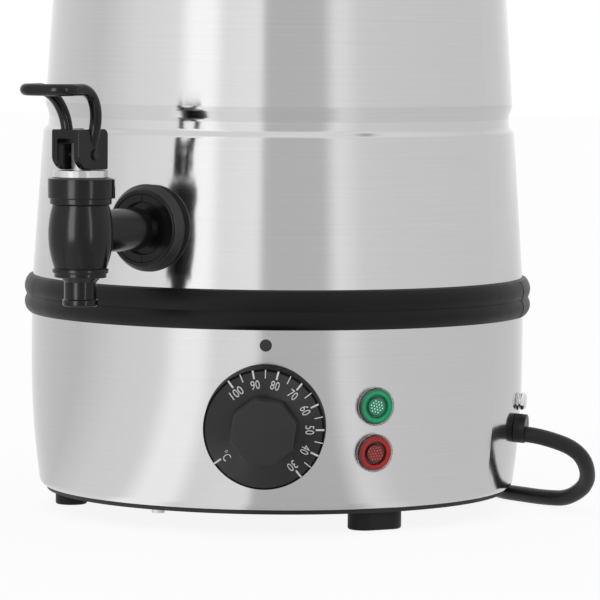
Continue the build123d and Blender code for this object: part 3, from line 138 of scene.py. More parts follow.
def rod(name, points, radius, slot):
    """A thin round ridge on the urn along points in millimetres."""
    data = bpy.data.curves.new(name, "CURVE")
    data.dimensions = "3D"
    data.bevel_depth = radius * MM
    data.bevel_resolution = 3
    data.use_fill_caps = True
    line = data.splines.new("POLY")
    line.points.add(len(points) - 1)
    for point, co in zip(line.points, points):
        point.co = (co[0] * MM, co[1] * MM, co[2] * MM, 1)
    data.materials.append(finishes[slot])
    piece = bpy.data.objects.new(name, data)
    bpy.context.scene.collection.objects.link(piece)
    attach(piece, "urn")


def through(a, b, c, count):
    """Points on the arc through three points of (radius, height)."""
    ax, ay, bx, by, cx, cy = *a, *b, *c
    d = 2 * (ax * (by - cy) + bx * (cy - ay) + cx * (ay - by))
    aa, bb, cc = ax**2 + ay**2, bx**2 + by**2, cx**2 + cy**2
    ux = (aa * (by - cy) + bb * (cy - ay) + cc * (ay - by)) / d
    uy = (aa * (cx - bx) + bb * (ax - cx) + cc * (bx - ax)) / d
    radius = math.hypot(ax - ux, ay - uy)
    first, last = math.atan2(ay - uy, ax - ux), math.atan2(cy - uy, cx - ux)
    turns = [first + (last - first) * k / count for k in range(count + 1)]
    return [(ux + radius * math.cos(turn), uy + radius * math.sin(turn)) for turn in turns]


# ---- Camera ----
CAMERA_DISTANCE, CAMERA_AZIMUTH, CAMERA_HEIGHT = 2.310, 30.4958, 0.2813166
CAMERA_PITCH, CAMERA_YAW, CAMERA_ROLL = 4.0506, 0.3187, 0.4738
CAMERA_LENS, CAMERA_SENSOR = 243.216, 36


def swing(a, b, degrees):
    """Both axes turned in their plane, the first towards the second."""
    turn = math.radians(degrees)
    return a * math.cos(turn) + b * math.sin(turn), b * math.cos(turn) - a * math.sin(turn)


azimuth = math.radians(CAMERA_AZIMUTH)
ahead = Vector((-math.sin(azimuth), math.cos(azimuth), 0))
side = Vector((math.cos(azimuth), math.sin(azimuth), 0))
above = Vector((0, 0, 1))
ahead, side = swing(ahead, side, CAMERA_YAW)
ahead, above = swing(ahead, above, -CAMERA_PITCH)
side, above = swing(side, above, CAMERA_ROLL)
camera = bpy.data.objects.new("camera", bpy.data.cameras.new("camera"))
camera.data.sensor_width = CAMERA_SENSOR
camera.data.lens = CAMERA_LENS
camera.data.clip_end = 50
camera.matrix_world = Matrix((side, above, -ahead)).transposed().to_4x4()
camera.matrix_world.translation = (math.sin(azimuth) * CAMERA_DISTANCE,
                                   -math.cos(azimuth) * CAMERA_DISTANCE, CAMERA_HEIGHT)
bpy.context.scene.collection.objects.link(camera)
bpy.context.scene.camera = camera


# ---- Materials ----
def feed(tree, node, socket, value):
    """Sets a shader node's input, or links another node's output to it."""
    target = node.inputs[socket]
    if isinstance(value, bpy.types.NodeSocket):
        tree.links.new(value, target)
    else:
        target.default_value = value


class Finish:
    """A Principled material with noise in its colour, roughness and surface."""

    def __init__(self, name, colour, metallic=0.0, **sockets):
        self.material = bpy.data.materials.new(name)
        self.material.use_nodes = True
        self.tree = self.material.node_tree
        self.shader = self.tree.nodes["Principled BSDF"]
        self.shader.inputs["Metallic"].default_value = metallic
        self.material.diffuse_color = (*colour, 1)
        for socket, value in sockets.items():
            self.shader.inputs[socket.replace("_", " ")].default_value = value
        self.place = self.add("TexCoord").outputs["Object"]
        self.colour = colour
        self.normal = None

    def add(self, kind, **values):
        node = self.tree.nodes.new("ShaderNode" + kind)
        for key, value in values.items():
            if hasattr(node, key):
                setattr(node, key, value)
            else:
                self.feed(node, key.replace("_", " "), value)
        return node

    def feed(self, node, socket, value):
        feed(self.tree, node, socket, value)

    def noise(self, scale, stretch=(1, 1, 1), detail=3.0):
        mapping = self.add("Mapping", Vector=self.place, Scale=stretch)
        texture = self.add("TexNoise", Vector=mapping.outputs[0], Scale=scale, Detail=detail, Roughness=0.55)
        return texture.outputs["Fac"]

    def remap(self, source, low, high):
        """low to high, over the middle part of a noise."""
        node = self.add("MapRange", Value=source, From_Min=0.3, From_Max=0.7, To_Min=low, To_Max=high)
        return node.outputs[0]

    def tint(self, source, low, high, start=0.3, end=0.7):
        """Colour between low and high times the base colour, by a noise."""
        ramp = self.add("ValToRGB", Fac=source)
        for element, factor, at in zip(ramp.color_ramp.elements, (low, high), (start, end)):
            element.position = at
            element.color = (*(min(1.0, c * factor) for c in self.colour), 1)
        self.feed(self.shader, "Base Color", ramp.outputs[0])

    def dull(self, source, low, high):
        self.feed(self.shader, "Roughness", self.remap(source, low, high))

    def bump(self, source, depth):
        """depth in millimetres."""
        node = self.add("Bump", Height=source, Distance=depth * MM, Strength=1.0)
        if self.normal:
            self.feed(node, "Normal", self.normal)
        self.normal = node.outputs[0]
        self.feed(self.shader, "Normal", self.normal)


def moulded(name, colour, rough, scale=900.0, depth=0.02, coarse=60.0, vary=0.12, edge=0.0, **sockets):
    """Moulded plastic or rubber: fine grain, slow changes of gloss, edges softened by a radius."""
    f = Finish(name, colour, **sockets)
    if edge:
        f.normal = f.add("Bevel", samples=4, Radius=edge * MM).outputs[0]
    fine, slow = f.noise(scale), f.noise(coarse)
    f.tint(slow, 1 - vary, 1 + vary)
    f.dull(slow, rough - 0.15 * rough, rough + 0.15 * rough)
    f.bump(fine, depth)
    return f.material


def metal(name, colour, rough, scale=700.0, stretch=(1, 1, 1), depth=0.004, vary=0.06, metallic=1.0):
    f = Finish(name, colour, metallic=metallic)
    fine, slow = f.noise(scale, stretch), f.noise(35.0)
    f.tint(fine, 1 - vary, 1 + vary)
    f.dull(slow, rough - 0.04, rough + 0.04)
    f.bump(fine, depth)
    return f.material


def rolled_steel():
    """Drawn stainless sheet, finely brushed round the urn."""
    f = Finish("stainless", (0.57, 0.57, 0.57), metallic=1.0, Anisotropic=0.4, Anisotropic_Rotation=0.25)
    grain = f.noise(1.0, (14, 14, 3200), detail=2.0)
    bands = f.noise(1.0, (6, 6, 420), detail=4.0)
    clouds = f.noise(9.0, detail=2.0)
    f.tint(grain, 0.975, 1.025, 0.25, 0.75)
    mixed = f.add("Math", operation="ADD")
    f.feed(mixed, 0, f.remap(bands, 0.0, 0.02))
    f.feed(mixed, 1, f.remap(clouds, 0.095, 0.125))
    f.feed(f.shader, "Roughness", mixed.outputs[0])
    f.feed(f.shader, "Tangent", f.add("Tangent", direction_type="RADIAL", axis="Z").outputs[0])
    f.bump(grain, 0.0005)
    return f.material


def turned_plastic(name, grey, rough, axis_frame):
    """Plastic with concentric marks round an axis, which give wedges of sheen."""
    f = Finish(name, (grey, grey, grey), Anisotropic=0.8, Specular_IOR_Level=0.38)
    offset = f.add("VectorMath", operation="SUBTRACT")
    f.feed(offset, 0, f.place)
    f.feed(offset, 1, axis_frame.translation)
    tangent = f.add("VectorMath", operation="CROSS_PRODUCT")
    f.feed(tangent, 0, axis_frame.to_3x3() @ Vector((0, 0, 1)))
    f.feed(tangent, 1, offset.outputs[0])
    f.feed(f.shader, "Tangent", tangent.outputs[0])
    slow, fine = f.noise(80.0), f.noise(1500.0)
    f.tint(slow, 0.9, 1.1)
    f.dull(slow, rough - 0.03, rough + 0.05)
    f.bump(fine, 0.006)
    return f.material


def black(name, grey, rough, scale, depth, shine, **more):
    """Moulded black plastic or rubber of a given grey and shine."""
    return moulded(name, (grey, grey, grey), rough, scale, depth, Specular_IOR_Level=shine, **more)


KNOB = on_base(KNOB_ANGLE, KNOB_HEIGHT)
GLAND = on_base(GLAND_ANGLE, GLAND_HEIGHT)

finishes = {
    "stainless": rolled_steel(),
    "base_plate_black": black("base_plate_black", 0.008, 0.5, 400.0, 0.01, 0.4),
    "band_black": black("band_black", 0.005, 0.42, 700.0, 0.004, 0.17, coarse=40.0),
    "screw_steel": metal("screw_steel", (0.55, 0.55, 0.54), 0.3),
    "dot_black": moulded("dot_black", (0.012, 0.012, 0.012), 0.35, 900.0, 0.01),
    "knob_black": turned_plastic("knob_black", 0.007, 0.3, KNOB),
    "zinc_steel": metal("zinc_steel", (0.55, 0.56, 0.58), 0.38),
    "copper": metal("copper", (0.72, 0.35, 0.22), 0.3),
    "clear_bezel": moulded("clear_bezel", (0.9, 0.9, 0.9), 0.08, 500.0, 0.002, 40.0, 0.02,
                           Transmission_Weight=0.85),
    "nylon_white": moulded("nylon_white", (0.72, 0.71, 0.66), 0.45),
    "spring_steel": metal("spring_steel", (0.5, 0.5, 0.5), 0.25),
    "lens_green": moulded("lens_green", (0.0, 0.32, 0.12), 0.15, 300.0, 0.003, 90.0, Specular_IOR_Level=0.3),
    "lens_red": moulded("lens_red", (0.36, 0.012, 0.01), 0.15, 300.0, 0.003, 90.0, Specular_IOR_Level=0.3),
    "gland_black": black("gland_black", 0.008, 0.3, 900.0, 0.006, 0.2, edge=0.3),
    "chrome": metal("chrome", (0.72, 0.72, 0.72), 0.09, 300.0, depth=0.002, vary=0.03),
    "brass": metal("brass", (0.74, 0.55, 0.24), 0.28),
    "aluminium": metal("aluminium", (0.75, 0.75, 0.76), 0.4, 500.0, depth=0.01),
    "heater_sheath": metal("heater_sheath", (0.28, 0.27, 0.25), 0.5),
    "seal_black": black("seal_black", 0.008, 0.4, 800.0, 0.008, 0.4),
    "tap_black": black("tap_black", 0.005, 0.17, 500.0, 0.0006, 0.22, coarse=30.0, edge=0.3),
    "tap_steel": metal("tap_steel", (0.68, 0.68, 0.68), 0.13, 400.0, (1, 1, 6), 0.004),
    "silicone": moulded("silicone", (0.35, 0.12, 0.06), 0.5),
    "handle_black": black("handle_black", 0.008, 0.22, 700.0, 0.002, 0.4, coarse=35.0, edge=0.4),
    "cord_black": black("cord_black", 0.008, 0.38, 1200.0, 0.01, 0.3, coarse=50.0),
    "plug_black": black("plug_black", 0.009, 0.4, 900.0, 0.01, 0.4, edge=0.4),
    "plug_pins": metal("plug_pins", (0.66, 0.6, 0.48), 0.2),
    "foot_rubber": black("foot_rubber", 0.007, 0.45, 700.0, 0.01, 0.22, edge=0.5),
}
dial_print = moulded("dial_print", (0.6, 0.6, 0.6), 0.5, 600.0, 0.004, 120.0, 0.08)
# The knob's skirt takes a darker, duller copy of the knob's black plastic: painted shade on its side.
shaded_skirt_black = black("shaded_skirt_black", 0.004, 0.5, 1200.0, 0.004, 0.05)
grip_grey = moulded("grip_grey", (0.026, 0.026, 0.027), 0.6, 1600.0, 0.03, 50.0, Specular_IOR_Level=0.28)
stem_steel = metal("stem_steel", (0.8, 0.8, 0.8), 0.32, 400.0, (1, 1, 6), 0.004, metallic=0.6)
ring_steel = metal("ring_steel", (0.62, 0.62, 0.62), 0.12, 400.0, (1, 1, 6), 0.002)
pin_black = black("pin_black", 0.014, 0.5, 900.0, 0.004, 0.3)
# name, colour, roughness, pitch of the slow changes and their share
# The lens is one coloured translucent plastic. Its window, groove and flank take darker copies as painted
# shade, and its facets take a brighter copy as painted glints.
LAMP_FINISHES = (
    ("green_window", (0.01, 0.2, 0.1), 0.15, 500.0, 0.1),
    ("green_cells", (0.5, 0.95, 0.74), 0.12, 900.0, 0.3),
    ("green_groove", (0.02, 0.13, 0.08), 0.3, 200.0, 0.3),
    ("green_side", (0.018, 0.1, 0.06), 0.3, 200.0, 0.3),
    ("red_window", (0.12, 0.004, 0.004), 0.15, 500.0, 0.1),
    ("red_cells", (0.55, 0.06, 0.05), 0.15, 900.0, 0.3),
    ("red_groove", (0.035, 0.008, 0.008), 0.3, 200.0, 0.3),
    ("red_side", (0.16, 0.008, 0.008), 0.3, 200.0, 0.3),
)
lamp_parts = {name: moulded(name, colour, rough, 300.0, 0.002, coarse, vary)
              for name, colour, rough, coarse, vary in LAMP_FINISHES}

for node in nodes_by_name.values():
    for slot in node.material_slots:
        slot.material = finishes[slot.material.name.split(".")[0]]
nodes_by_name["tap_stem"].material_slots[0].material = stem_steel
nodes_by_name["tap_ring"].material_slots[0].material = ring_steel

# ---- Light ----
# The world is a plain studio that varies round the urn: (degrees to the right of the camera, radiance).
STUDIO = ((-180, 1.0), (-150, 0.95), (-100, 0.88), (-75, 1.12), (-52, 1.2), (-44, 1.6), (-33, 1.6),
          (-27, 1.22), (-9, 1.3), (-6.5, 0.74), (21, 0.76), (28, 1.2), (33, 1.15), (40, 1.0), (60, 0.96),
          (140, 0.9), (165, 1.0), (180, 1.0))
# A colour ramp holds no more than 1, so the studio's greys are halved in it and doubled by the strength.
HALF_WHITE, FULL_STRENGTH = (0.5, 0.5, 0.5, 1), 2.0
OVERHEAD, OVERHEAD_START, OVERHEAD_END = (0.55, 0.55, 0.55, 1), 0.5, 0.9
FLOOR_RADIUS, FLOOR_GREY, FLOOR_GLOW, FLOOR_SHARE = 9.0, (0.8, 0.8, 0.8, 1), 0.9, 0.92
# name, degrees to the right of the camera, width, radiance
STRIPS = (("strip_left", -30, 0.4, 6.5), ("strip_right", 31, 0.12, 6.5))
STRIP_TALL, STRIP_DISTANCE, STRIP_LEVEL = 1.3, 1.25, 0.3


def shader_node(tree, kind, inputs, **settings):
    """A node with its settings made and its inputs set or linked."""
    node = tree.nodes.new("ShaderNode" + kind)
    for key, value in settings.items():
        setattr(node, key, value)
    for socket, value in inputs.items():
        feed(tree, node, socket, value)
    return node


def maths(tree, operation, a, b):
    return shader_node(tree, "Math", {0: a, 1: b}, operation=operation).outputs[0]


def mixed_colour(tree, share, low, high):
    return shader_node(tree, "Mix", {0: share, 6: low, 7: high}, data_type="RGBA").outputs[2]


def studio_ramp(tree, vector):
    """The studio's grey round the urn, halved, for a direction or a place on the floor, and its height."""
    turn = shader_node(tree, "VectorRotate", {"Angle": -azimuth, "Vector": vector}, rotation_type="Z_AXIS")
    x, y, z = shader_node(tree, "SeparateXYZ", {0: turn.outputs[0]}).outputs
    angle = maths(tree, "ARCTAN2", x, maths(tree, "MULTIPLY", y, -1))
    share = shader_node(tree, "MapRange", {"From Min": -math.pi, "From Max": math.pi, "Value": angle})
    ramp = shader_node(tree, "ValToRGB", {"Fac": share.outputs[0]})
    elements = ramp.color_ramp.elements
    for number, (degrees, radiance) in enumerate(STUDIO):
        at = degrees / 360 + 0.5
        element = elements[number] if number < 2 else elements.new(at)
        element.position = at
    for element, (degrees, radiance) in zip(sorted(elements, key=lambda e: e.position), STUDIO):
        element.color = (radiance / 2, radiance / 2, radiance / 2, 1)
    return ramp.outputs[0], z


world = bpy.data.worlds.new("studio")
bpy.context.scene.world = world
world.use_nodes = True
tree = world.node_tree
around, level = studio_ramp(tree, tree.nodes.new("ShaderNodeTexCoord").outputs["Generated"])
height = shader_node(tree, "MapRange", {"From Min": OVERHEAD_START, "From Max": OVERHEAD_END, "Value": level})
overhead = mixed_colour(tree, height.outputs[0], around, OVERHEAD)
rays = tree.nodes.new("ShaderNodeLightPath").outputs
seen = mixed_colour(tree, rays["Is Camera Ray"], overhead, HALF_WHITE)
feed(tree, tree.nodes["Background"], "Color", seen)
feed(tree, tree.nodes["Background"], "Strength", FULL_STRENGTH)

# Two soft strips that only the black mouldings catch, as streaks along their rounds.
gloss = bpy.data.collections.new("gloss")
for name in ("tap_body", "tap_bonnet", "tap_collar", "tap_lever", "tap_outer_gasket",
             "cord_gland", "left_handle", "right_handle", "lid_knob"):
    gloss.objects.link(nodes_by_name[name])
for name, degrees, width, radiance in STRIPS:
    lamp = bpy.data.lights.new(name, "AREA")
    lamp.shape = "RECTANGLE"
    lamp.size, lamp.size_y = width, STRIP_TALL
    lamp.energy = radiance * math.pi * width * STRIP_TALL
    holder = bpy.data.objects.new(name, lamp)
    at = azimuth + math.radians(degrees)
    place = Vector((STRIP_DISTANCE * math.sin(at), -STRIP_DISTANCE * math.cos(at), STRIP_LEVEL))
    holder.matrix_world = (Matrix.Translation(place) @ Matrix.Rotation(at, 4, "Z")
                           @ Matrix.Rotation(math.pi / 2, 4, "X"))
    bpy.context.scene.collection.objects.link(holder)
    holder.light_linking.receiver_collection = gloss

# ---- Floor: matt, and shown at the studio's own brightness to the camera and to reflections ----
bm = bmesh.new()
bmesh.ops.create_circle(bm, cap_ends=True, segments=96, radius=FLOOR_RADIUS)
mesh = bpy.data.meshes.new("floor")
bm.to_mesh(mesh)
bm.free()
floor = bpy.data.objects.new("floor", mesh)
bpy.context.scene.collection.objects.link(floor)
ground = bpy.data.materials.new("floor")
ground.use_nodes = True
tree = ground.node_tree
matt = tree.nodes["Principled BSDF"]
feed(tree, matt, "Base Color", FLOOR_GREY)
feed(tree, matt, "Roughness", 0.9)
around, level = studio_ramp(tree, tree.nodes.new("ShaderNodeNewGeometry").outputs["Position"])
dimmed = shader_node(tree, "VectorMath", {0: around, "Scale": FLOOR_SHARE}, operation="SCALE").outputs[0]
rays = tree.nodes.new("ShaderNodeLightPath").outputs
shown = mixed_colour(tree, rays["Is Glossy Ray"], HALF_WHITE, dimmed)
glow = shader_node(tree, "Emission", {"Color": shown, "Strength": FULL_STRENGTH})
either = maths(tree, "MAXIMUM", rays["Is Camera Ray"], rays["Is Glossy Ray"])
more = maths(tree, "MAXIMUM", either, rays["Is Transmission Ray"])
share = maths(tree, "MULTIPLY", more, FLOOR_GLOW)
mix = shader_node(tree, "MixShader", {0: share, 1: matt.outputs[0], 2: glow.outputs[0]})
feed(tree, tree.nodes["Material Output"], "Surface", mix.outputs[0])
mesh.materials.append(ground)

# ---- Mains cord ----
EXIT, LEAD = (tuple(GLAND @ Vector((0, CORD_DROP * MM, out * MM)) / MM)
              for out in (GLAND_PROUD, GLAND_PROUD + CORD_FIRST_RUN))
route = [EXIT, LEAD, (167, 55, 36.5), (165, 72, 17.5), (147.5, 80.5, 5.5), (130, 84.5, 4.5),
         (111, 91.5, 4.5), (95, 98, 4.5), (79, 114, 4.5), (66, 146, 4.5), (42, 181, 4.5), (12, 208, 4.5)]
COIL, COIL_START, COIL_TURNS, STEPS_PER_TURN = Vector((-60, 195, 0)), 45, 3.375, 16
# (turns so far, radius, height) along the coil: out, in, up and out again, a diameter apart.
LAYERS = ((0.0, 54.5, 4.5), (0.8, 54.5, 4.5), (1.0, 45.5, 4.5), (1.6, 45.5, 4.5), (1.85, 45.5, 13.5),
          (2.4, 45.5, 13.5), (2.65, 54.5, 13.5), (COIL_TURNS, 54.5, 13.5))
COIL_TO_PLUG = [(-114.7, 178, 14.5), (-118.5, 166, 17.8), PLUG_PLACE]


def layer(turns):
    """Radius and height of the coil after so many turns."""
    for (a, r0, z0), (b, r1, z1) in zip(LAYERS, LAYERS[1:]):
        if turns <= b:
            share = (turns - a) / (b - a)
            share = share * share * (3 - 2 * share)
            return r0 + share * (r1 - r0), z0 + share * (z1 - z0)
    return LAYERS[-1][1:]


# The curve runs inside its points, so they stand a little further out than the coil.
for step in range(int(COIL_TURNS * STEPS_PER_TURN) + 1):
    turns = step / STEPS_PER_TURN
    radius, height = layer(turns)
    radius /= math.cos(math.pi / STEPS_PER_TURN) ** 0.5
    around = math.radians(COIL_START) + turns * math.tau
    route.append((COIL.x + radius * math.cos(around), COIL.y + radius * math.sin(around), height))
route += COIL_TO_PLUG

cord = bpy.data.curves.new("mains_cord", "CURVE")
cord.dimensions = "3D"
cord.bevel_depth = CORD_RADIUS * MM
cord.bevel_resolution = 5
cord.use_fill_caps = True
spline = cord.splines.new("NURBS")
spline.points.add(len(route) - 1)
for point, (x, y, z) in zip(spline.points, route):
    point.co = (x * MM, y * MM, z * MM, 1)
spline.order_u = 3
spline.use_endpoint_u = True
spline.resolution_u = 8
cord.materials.append(finishes["cord_black"])
mains_cord = bpy.data.objects.new("mains_cord", cord)
bpy.context.scene.collection.objects.link(mains_cord)
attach(mains_cord, "urn")
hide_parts("cord", "cord_coil", "cord_tail")

# ---- Tie round the coil ----
TIE_TURN, TIE_RADIUS, TIE_HALF_WIDTH, TIE_HALF_HEIGHT = math.radians(118), 50, 9.6, 9.0
TIE_OUTLINE = ((-0.9, -1), (0.9, -1), (1, -0.9), (1, 0.9), (0.9, 1.1), (-0.9, 1.1), (-1, 0.9), (-1, -0.9))
# scale of the outline and place along the cord: inner edge, outer edge and back
TIE_EDGES = ((1.0, -2.4), (1.11, -2.2), (1.11, 2.2), (1.0, 2.4))
bm = bmesh.new()
tie_place = upright(COIL.x + TIE_RADIUS * math.cos(TIE_TURN), COIL.y + TIE_RADIUS * math.sin(TIE_TURN),
                    TIE_HALF_HEIGHT) @ Matrix.Rotation(TIE_TURN, 4, "Z")
outline = [(x * TIE_HALF_WIDTH, z * TIE_HALF_HEIGHT) for x, z in TIE_OUTLINE]
loops = []
for scale, y in TIE_EDGES:
    loops.append([bm.verts.new((x * scale, y, z * (scale if z > 0 else 1.0))) for x, z in outline])
skin(bm, loops, closed=True)
put("cord_tie", bm, tie_place, finishes["cord_black"])

# ---- Knob: skirt, printed face and octagonal grip ----
DIAL_CHAMFER, DIAL_SUNK, DIAL_STEPS, GRIP_ROUND = 0.5, 0.2, 128, 1.4
EDGE_ROUND = 1.2
FLAT_RADIUS = DIAL_RADIUS - EDGE_ROUND
# the skirt's rounded front edge, from (DIAL_RADIUS, DIAL_FACE)
SKIRT_EDGE = ((0.03, -1.2), (-0.13, -0.65), (-0.52, -0.22), (-1.15, -0.01), (-1.3, -DIAL_SUNK))
bm = bmesh.new()
lathe(bm, [(0, DIAL_BACK), (DIAL_BACK_RADIUS - DIAL_CHAMFER, DIAL_BACK),
           (DIAL_BACK_RADIUS, DIAL_BACK + DIAL_CHAMFER),
           *((DIAL_RADIUS + out, DIAL_FACE + up) for out, up in SKIRT_EDGE),
           (0, DIAL_FACE - DIAL_SUNK)], DIAL_STEPS)
skirt = put("knob_skirt", bm, KNOB, shaded_skirt_black, "control_knob", 40)
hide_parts("control_knob")
bm = bmesh.new()
lathe(bm, [(0, DIAL_FACE - 0.3), (FLAT_RADIUS, DIAL_FACE - 0.3), (FLAT_RADIUS, DIAL_FACE), (0, DIAL_FACE)],
      DIAL_STEPS)
put("knob_dial", bm, KNOB, finishes["knob_black"], "control_knob")
bm = bmesh.new()
top = GRIP_HEIGHT - GRIP_ROUND
levels = [(-0.2, 0.0), (top, GRIP_DRAFT)]
levels += [(top + GRIP_ROUND * math.sin(a), GRIP_DRAFT + GRIP_ROUND * (1 - math.cos(a)))
           for a in (math.radians(k * 15) for k in range(1, 7))]
corner_angles = [math.radians(GRIP_TURN + 360 / GRIP_SIDES * k) for k in range(GRIP_SIDES)]
loops = []
for rise, inset in levels:
    radius = GRIP_RADIUS - inset / math.cos(math.pi / GRIP_SIDES)
    loops.append([bm.verts.new((radius * math.cos(a), radius * math.sin(a), DIAL_FACE + rise))
                  for a in corner_angles])
skin(bm, loops, closed=False)
put("knob_grip", bm, KNOB, grip_grey, "control_knob")

# ---- Dial marks: long ticks with numerals, short ticks between them ----
NUMBERS = {"100": 126.2, "90": 100.9, "80": 76.1, "70": 51.1, "60": 25.9, "50": 0.5, "40": -25.2,
           "30": -51.4, "\u00b0C": -145.0}
TICK_START, TICK_WIDTH, SHORT_TICK_WIDTH = 27.8, 0.95, 0.5
NUMERAL_RADIUS, NUMERAL_HEIGHT, CHARACTER_WIDTH = 24.6, 4.8, 2.4
FONT_SIZE, PRINT_DEPTH, PRINT_SUNK = 5.6, 0.08, 0.02
bm = bmesh.new()


def tick(angle, width):
    """A printed line from TICK_START outwards and over the dial's rounded edge."""
    rows = [(TICK_START, DIAL_FACE), (FLAT_RADIUS, DIAL_FACE)]
    rows += [(FLAT_RADIUS + EDGE_ROUND * math.sin(b), DIAL_FACE - EDGE_ROUND + EDGE_ROUND * math.cos(b))
             for b in (0.3, 0.6, 0.9)]
    turn = Matrix.Rotation(math.radians(angle), 3, "Z")
    strips = [[[bm.verts.new(turn @ Vector((r, s * width, h + lift))) for r, h in rows]
               for lift in (-0.1, 0.06)] for s in (-0.5, 0.5)]
    (la, ha), (lb, hb) = strips
    for k in range(len(rows) - 1):
        for quad in ((ha[k], ha[k + 1], hb[k + 1], hb[k]), (la[k], lb[k], lb[k + 1], la[k + 1]),
                     (la[k], la[k + 1], ha[k + 1], ha[k]), (lb[k], hb[k], hb[k + 1], lb[k + 1])):
            bm.faces.new(quad)
    for k in (0, -1):
        bm.faces.new((la[k], ha[k], hb[k], lb[k]))


for angle in NUMBERS.values():
    tick(angle, TICK_WIDTH)
angles = list(NUMBERS.values())[:-1]
for a, b in zip(angles, angles[1:]):
    tick((a + b) / 2, SHORT_TICK_WIDTH)
for text, angle in NUMBERS.items():
    curve = bpy.data.curves.new(text, "FONT")
    curve.body = text
    curve.align_x, curve.align_y = "CENTER", "CENTER"
    curve.size = FONT_SIZE
    curve.extrude = PRINT_DEPTH
    curve.resolution_u = 3
    holder = bpy.data.objects.new(text, curve)
    bpy.context.scene.collection.objects.link(holder)
    bpy.context.view_layer.update()
    letters = bpy.data.meshes.new_from_object(holder.evaluated_get(bpy.context.evaluated_depsgraph_get()))
    bpy.data.objects.remove(holder)
    a = math.radians(angle)
    spans = [[v.co[axis] for v in letters.vertices] for axis in (0, 1)]
    middle = [-(max(span) + min(span)) / 2 for span in spans]
    wide, tall = (wanted / (max(span) - min(span))
                  for wanted, span in zip((CHARACTER_WIDTH * len(text), NUMERAL_HEIGHT), spans))
    upside_down = math.pi if text[-1] == "C" else 0
    letters.transform(Matrix.Translation((NUMERAL_RADIUS * math.cos(a), NUMERAL_RADIUS * math.sin(a),
                                          DIAL_FACE - PRINT_SUNK))
                      @ Matrix.Rotation(a + upside_down - math.pi / 2, 4, "Z")
                      @ Matrix.Diagonal((wide, tall, 1, 1)) @ Matrix.Translation((*middle, 0)))
    bm.from_mesh(letters)
    bpy.data.meshes.remove(letters)
put("dial_marks", bm, KNOB, dial_print, "control_knob", smooth=0)

# ---- Pilot lamps ----
LENS_RADIUS, LENS_SEAT, LENS_FACE, GROOVE_RADIUS, GROOVE_FLOOR = 8.6, 0.6, 3.6, 6.5, 1.9
WINDOW_RADIUS, WINDOW_FACE, FACET_RISE, LAMP_STEPS = 4.7, 3.3, 0.22, 96
# The flank of the lens, a darker copy of its colour as painted shade, and the clear cup round it, both wider
# above the wall than on it.
FLANK = [(8.5, 0.6), (9.1, 0.6), (9.75, 1.6), (9.75, 2.2), (9.4, 2.9), (8.8, 3.4), (8.5, 3.4)]
CUP = [(8.9, -0.3), (9.3, -0.3), (10.55, 2.1), (10.55, 2.5), (10.35, 2.65), (10.1, 2.5), (9.85, 1.3)]
# The facets in each window: turn in degrees, then spacing and size across and along.
FACETS = {"green": (12, 1.5, 1.6, 0.72, 0.76), "red": (-30, 1.35, 1.8, 0.6, 1.15)}


def ring_shape(inner, outer, low, high, edge=0.15):
    """Profile of a flat ring with softened upper corners."""
    part = 0.3 * edge
    return [(inner, low), (outer, low), (outer, high - edge), (outer - part, high - part),
            (outer - edge, high), (inner + edge, high), (inner + part, high - part), (inner, high - edge)]


LENS = ring_shape(GROOVE_RADIUS, LENS_RADIUS, LENS_SEAT, LENS_FACE, 0.5)
GROOVE = ring_shape(WINDOW_RADIUS - 0.1, GROOVE_RADIUS + 0.1, LENS_SEAT, GROOVE_FLOOR)
WINDOW = [(0, LENS_SEAT), (WINDOW_RADIUS, LENS_SEAT), (WINDOW_RADIUS, WINDOW_FACE), (0, WINDOW_FACE)]
for colour, level in LAMPS.items():
    place = on_base(LAMP_ANGLE, level)
    slot = "lens_" + colour
    for part, profile, material, part_slot in (
            ("lens", LENS, finishes[slot], slot),
            ("groove", GROOVE, lamp_parts[colour + "_groove"], slot),
            ("side", FLANK, lamp_parts[colour + "_side"], slot),
            ("window", WINDOW, lamp_parts[colour + "_window"], slot),
            ("collar", CUP, finishes["clear_bezel"], "clear_bezel")):
        bm = bmesh.new()
        lathe(bm, profile, LAMP_STEPS)
        made = put(colour + "_" + part, bm, place, material)
        if part == "lens":
            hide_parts(colour + "_lamp_lens")
        if part == "collar" and colour == "green":
            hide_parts("lamp_bezels")
    bm = bmesh.new()
    degrees, step_x, step_y, size_x, size_y = FACETS[colour]
    turn = Matrix.Rotation(math.radians(degrees), 4, "Z")
    for i in range(-5, 6):
        for j in range(-5, 6):
            x, y = i * step_x, (j + i % 2 / 2) * step_y
            if math.hypot(abs(x) + size_x / 2, abs(y) + size_y / 2) < WINDOW_RADIUS:
                block(bm, (x - size_x / 2, y - size_y / 2, WINDOW_FACE - 0.1),
                      (x + size_x / 2, y + size_y / 2, WINDOW_FACE + FACET_RISE), turn)
    # The facets take the bright cells colour: painted glints on the lens.
    put(colour + "_cells", bm, place, lamp_parts[colour + "_cells"], smooth=0)

# ---- Tap details ----
BARREL = upright(0, -TAP_REACH)
RIB_TURN, RIB_LOW, RIB_HIGH = 28, (16.9, -2.6, 183.2), (18.0, 2.6, 193.2)
COLLAR_FACE, COLLAR_LINE_START, COLLAR_LINE_END = 145.58, 14.3, 18.3
PIN_HEIGHT, PIN_END = 206, 9.6
PIN_CAP = [(0, -0.4), (2.6, -0.4), (2.6, 0.25), (2.35, 0.5), (1.9, 0.52), (1.75, 0.36), (0, 0.4)]
bm = bmesh.new()
block(bm, RIB_LOW, RIB_HIGH, Matrix.Rotation(math.radians(RIB_TURN), 4, "Z"))
put("bonnet_rib", bm, BARREL, finishes["tap_black"], smooth=0)
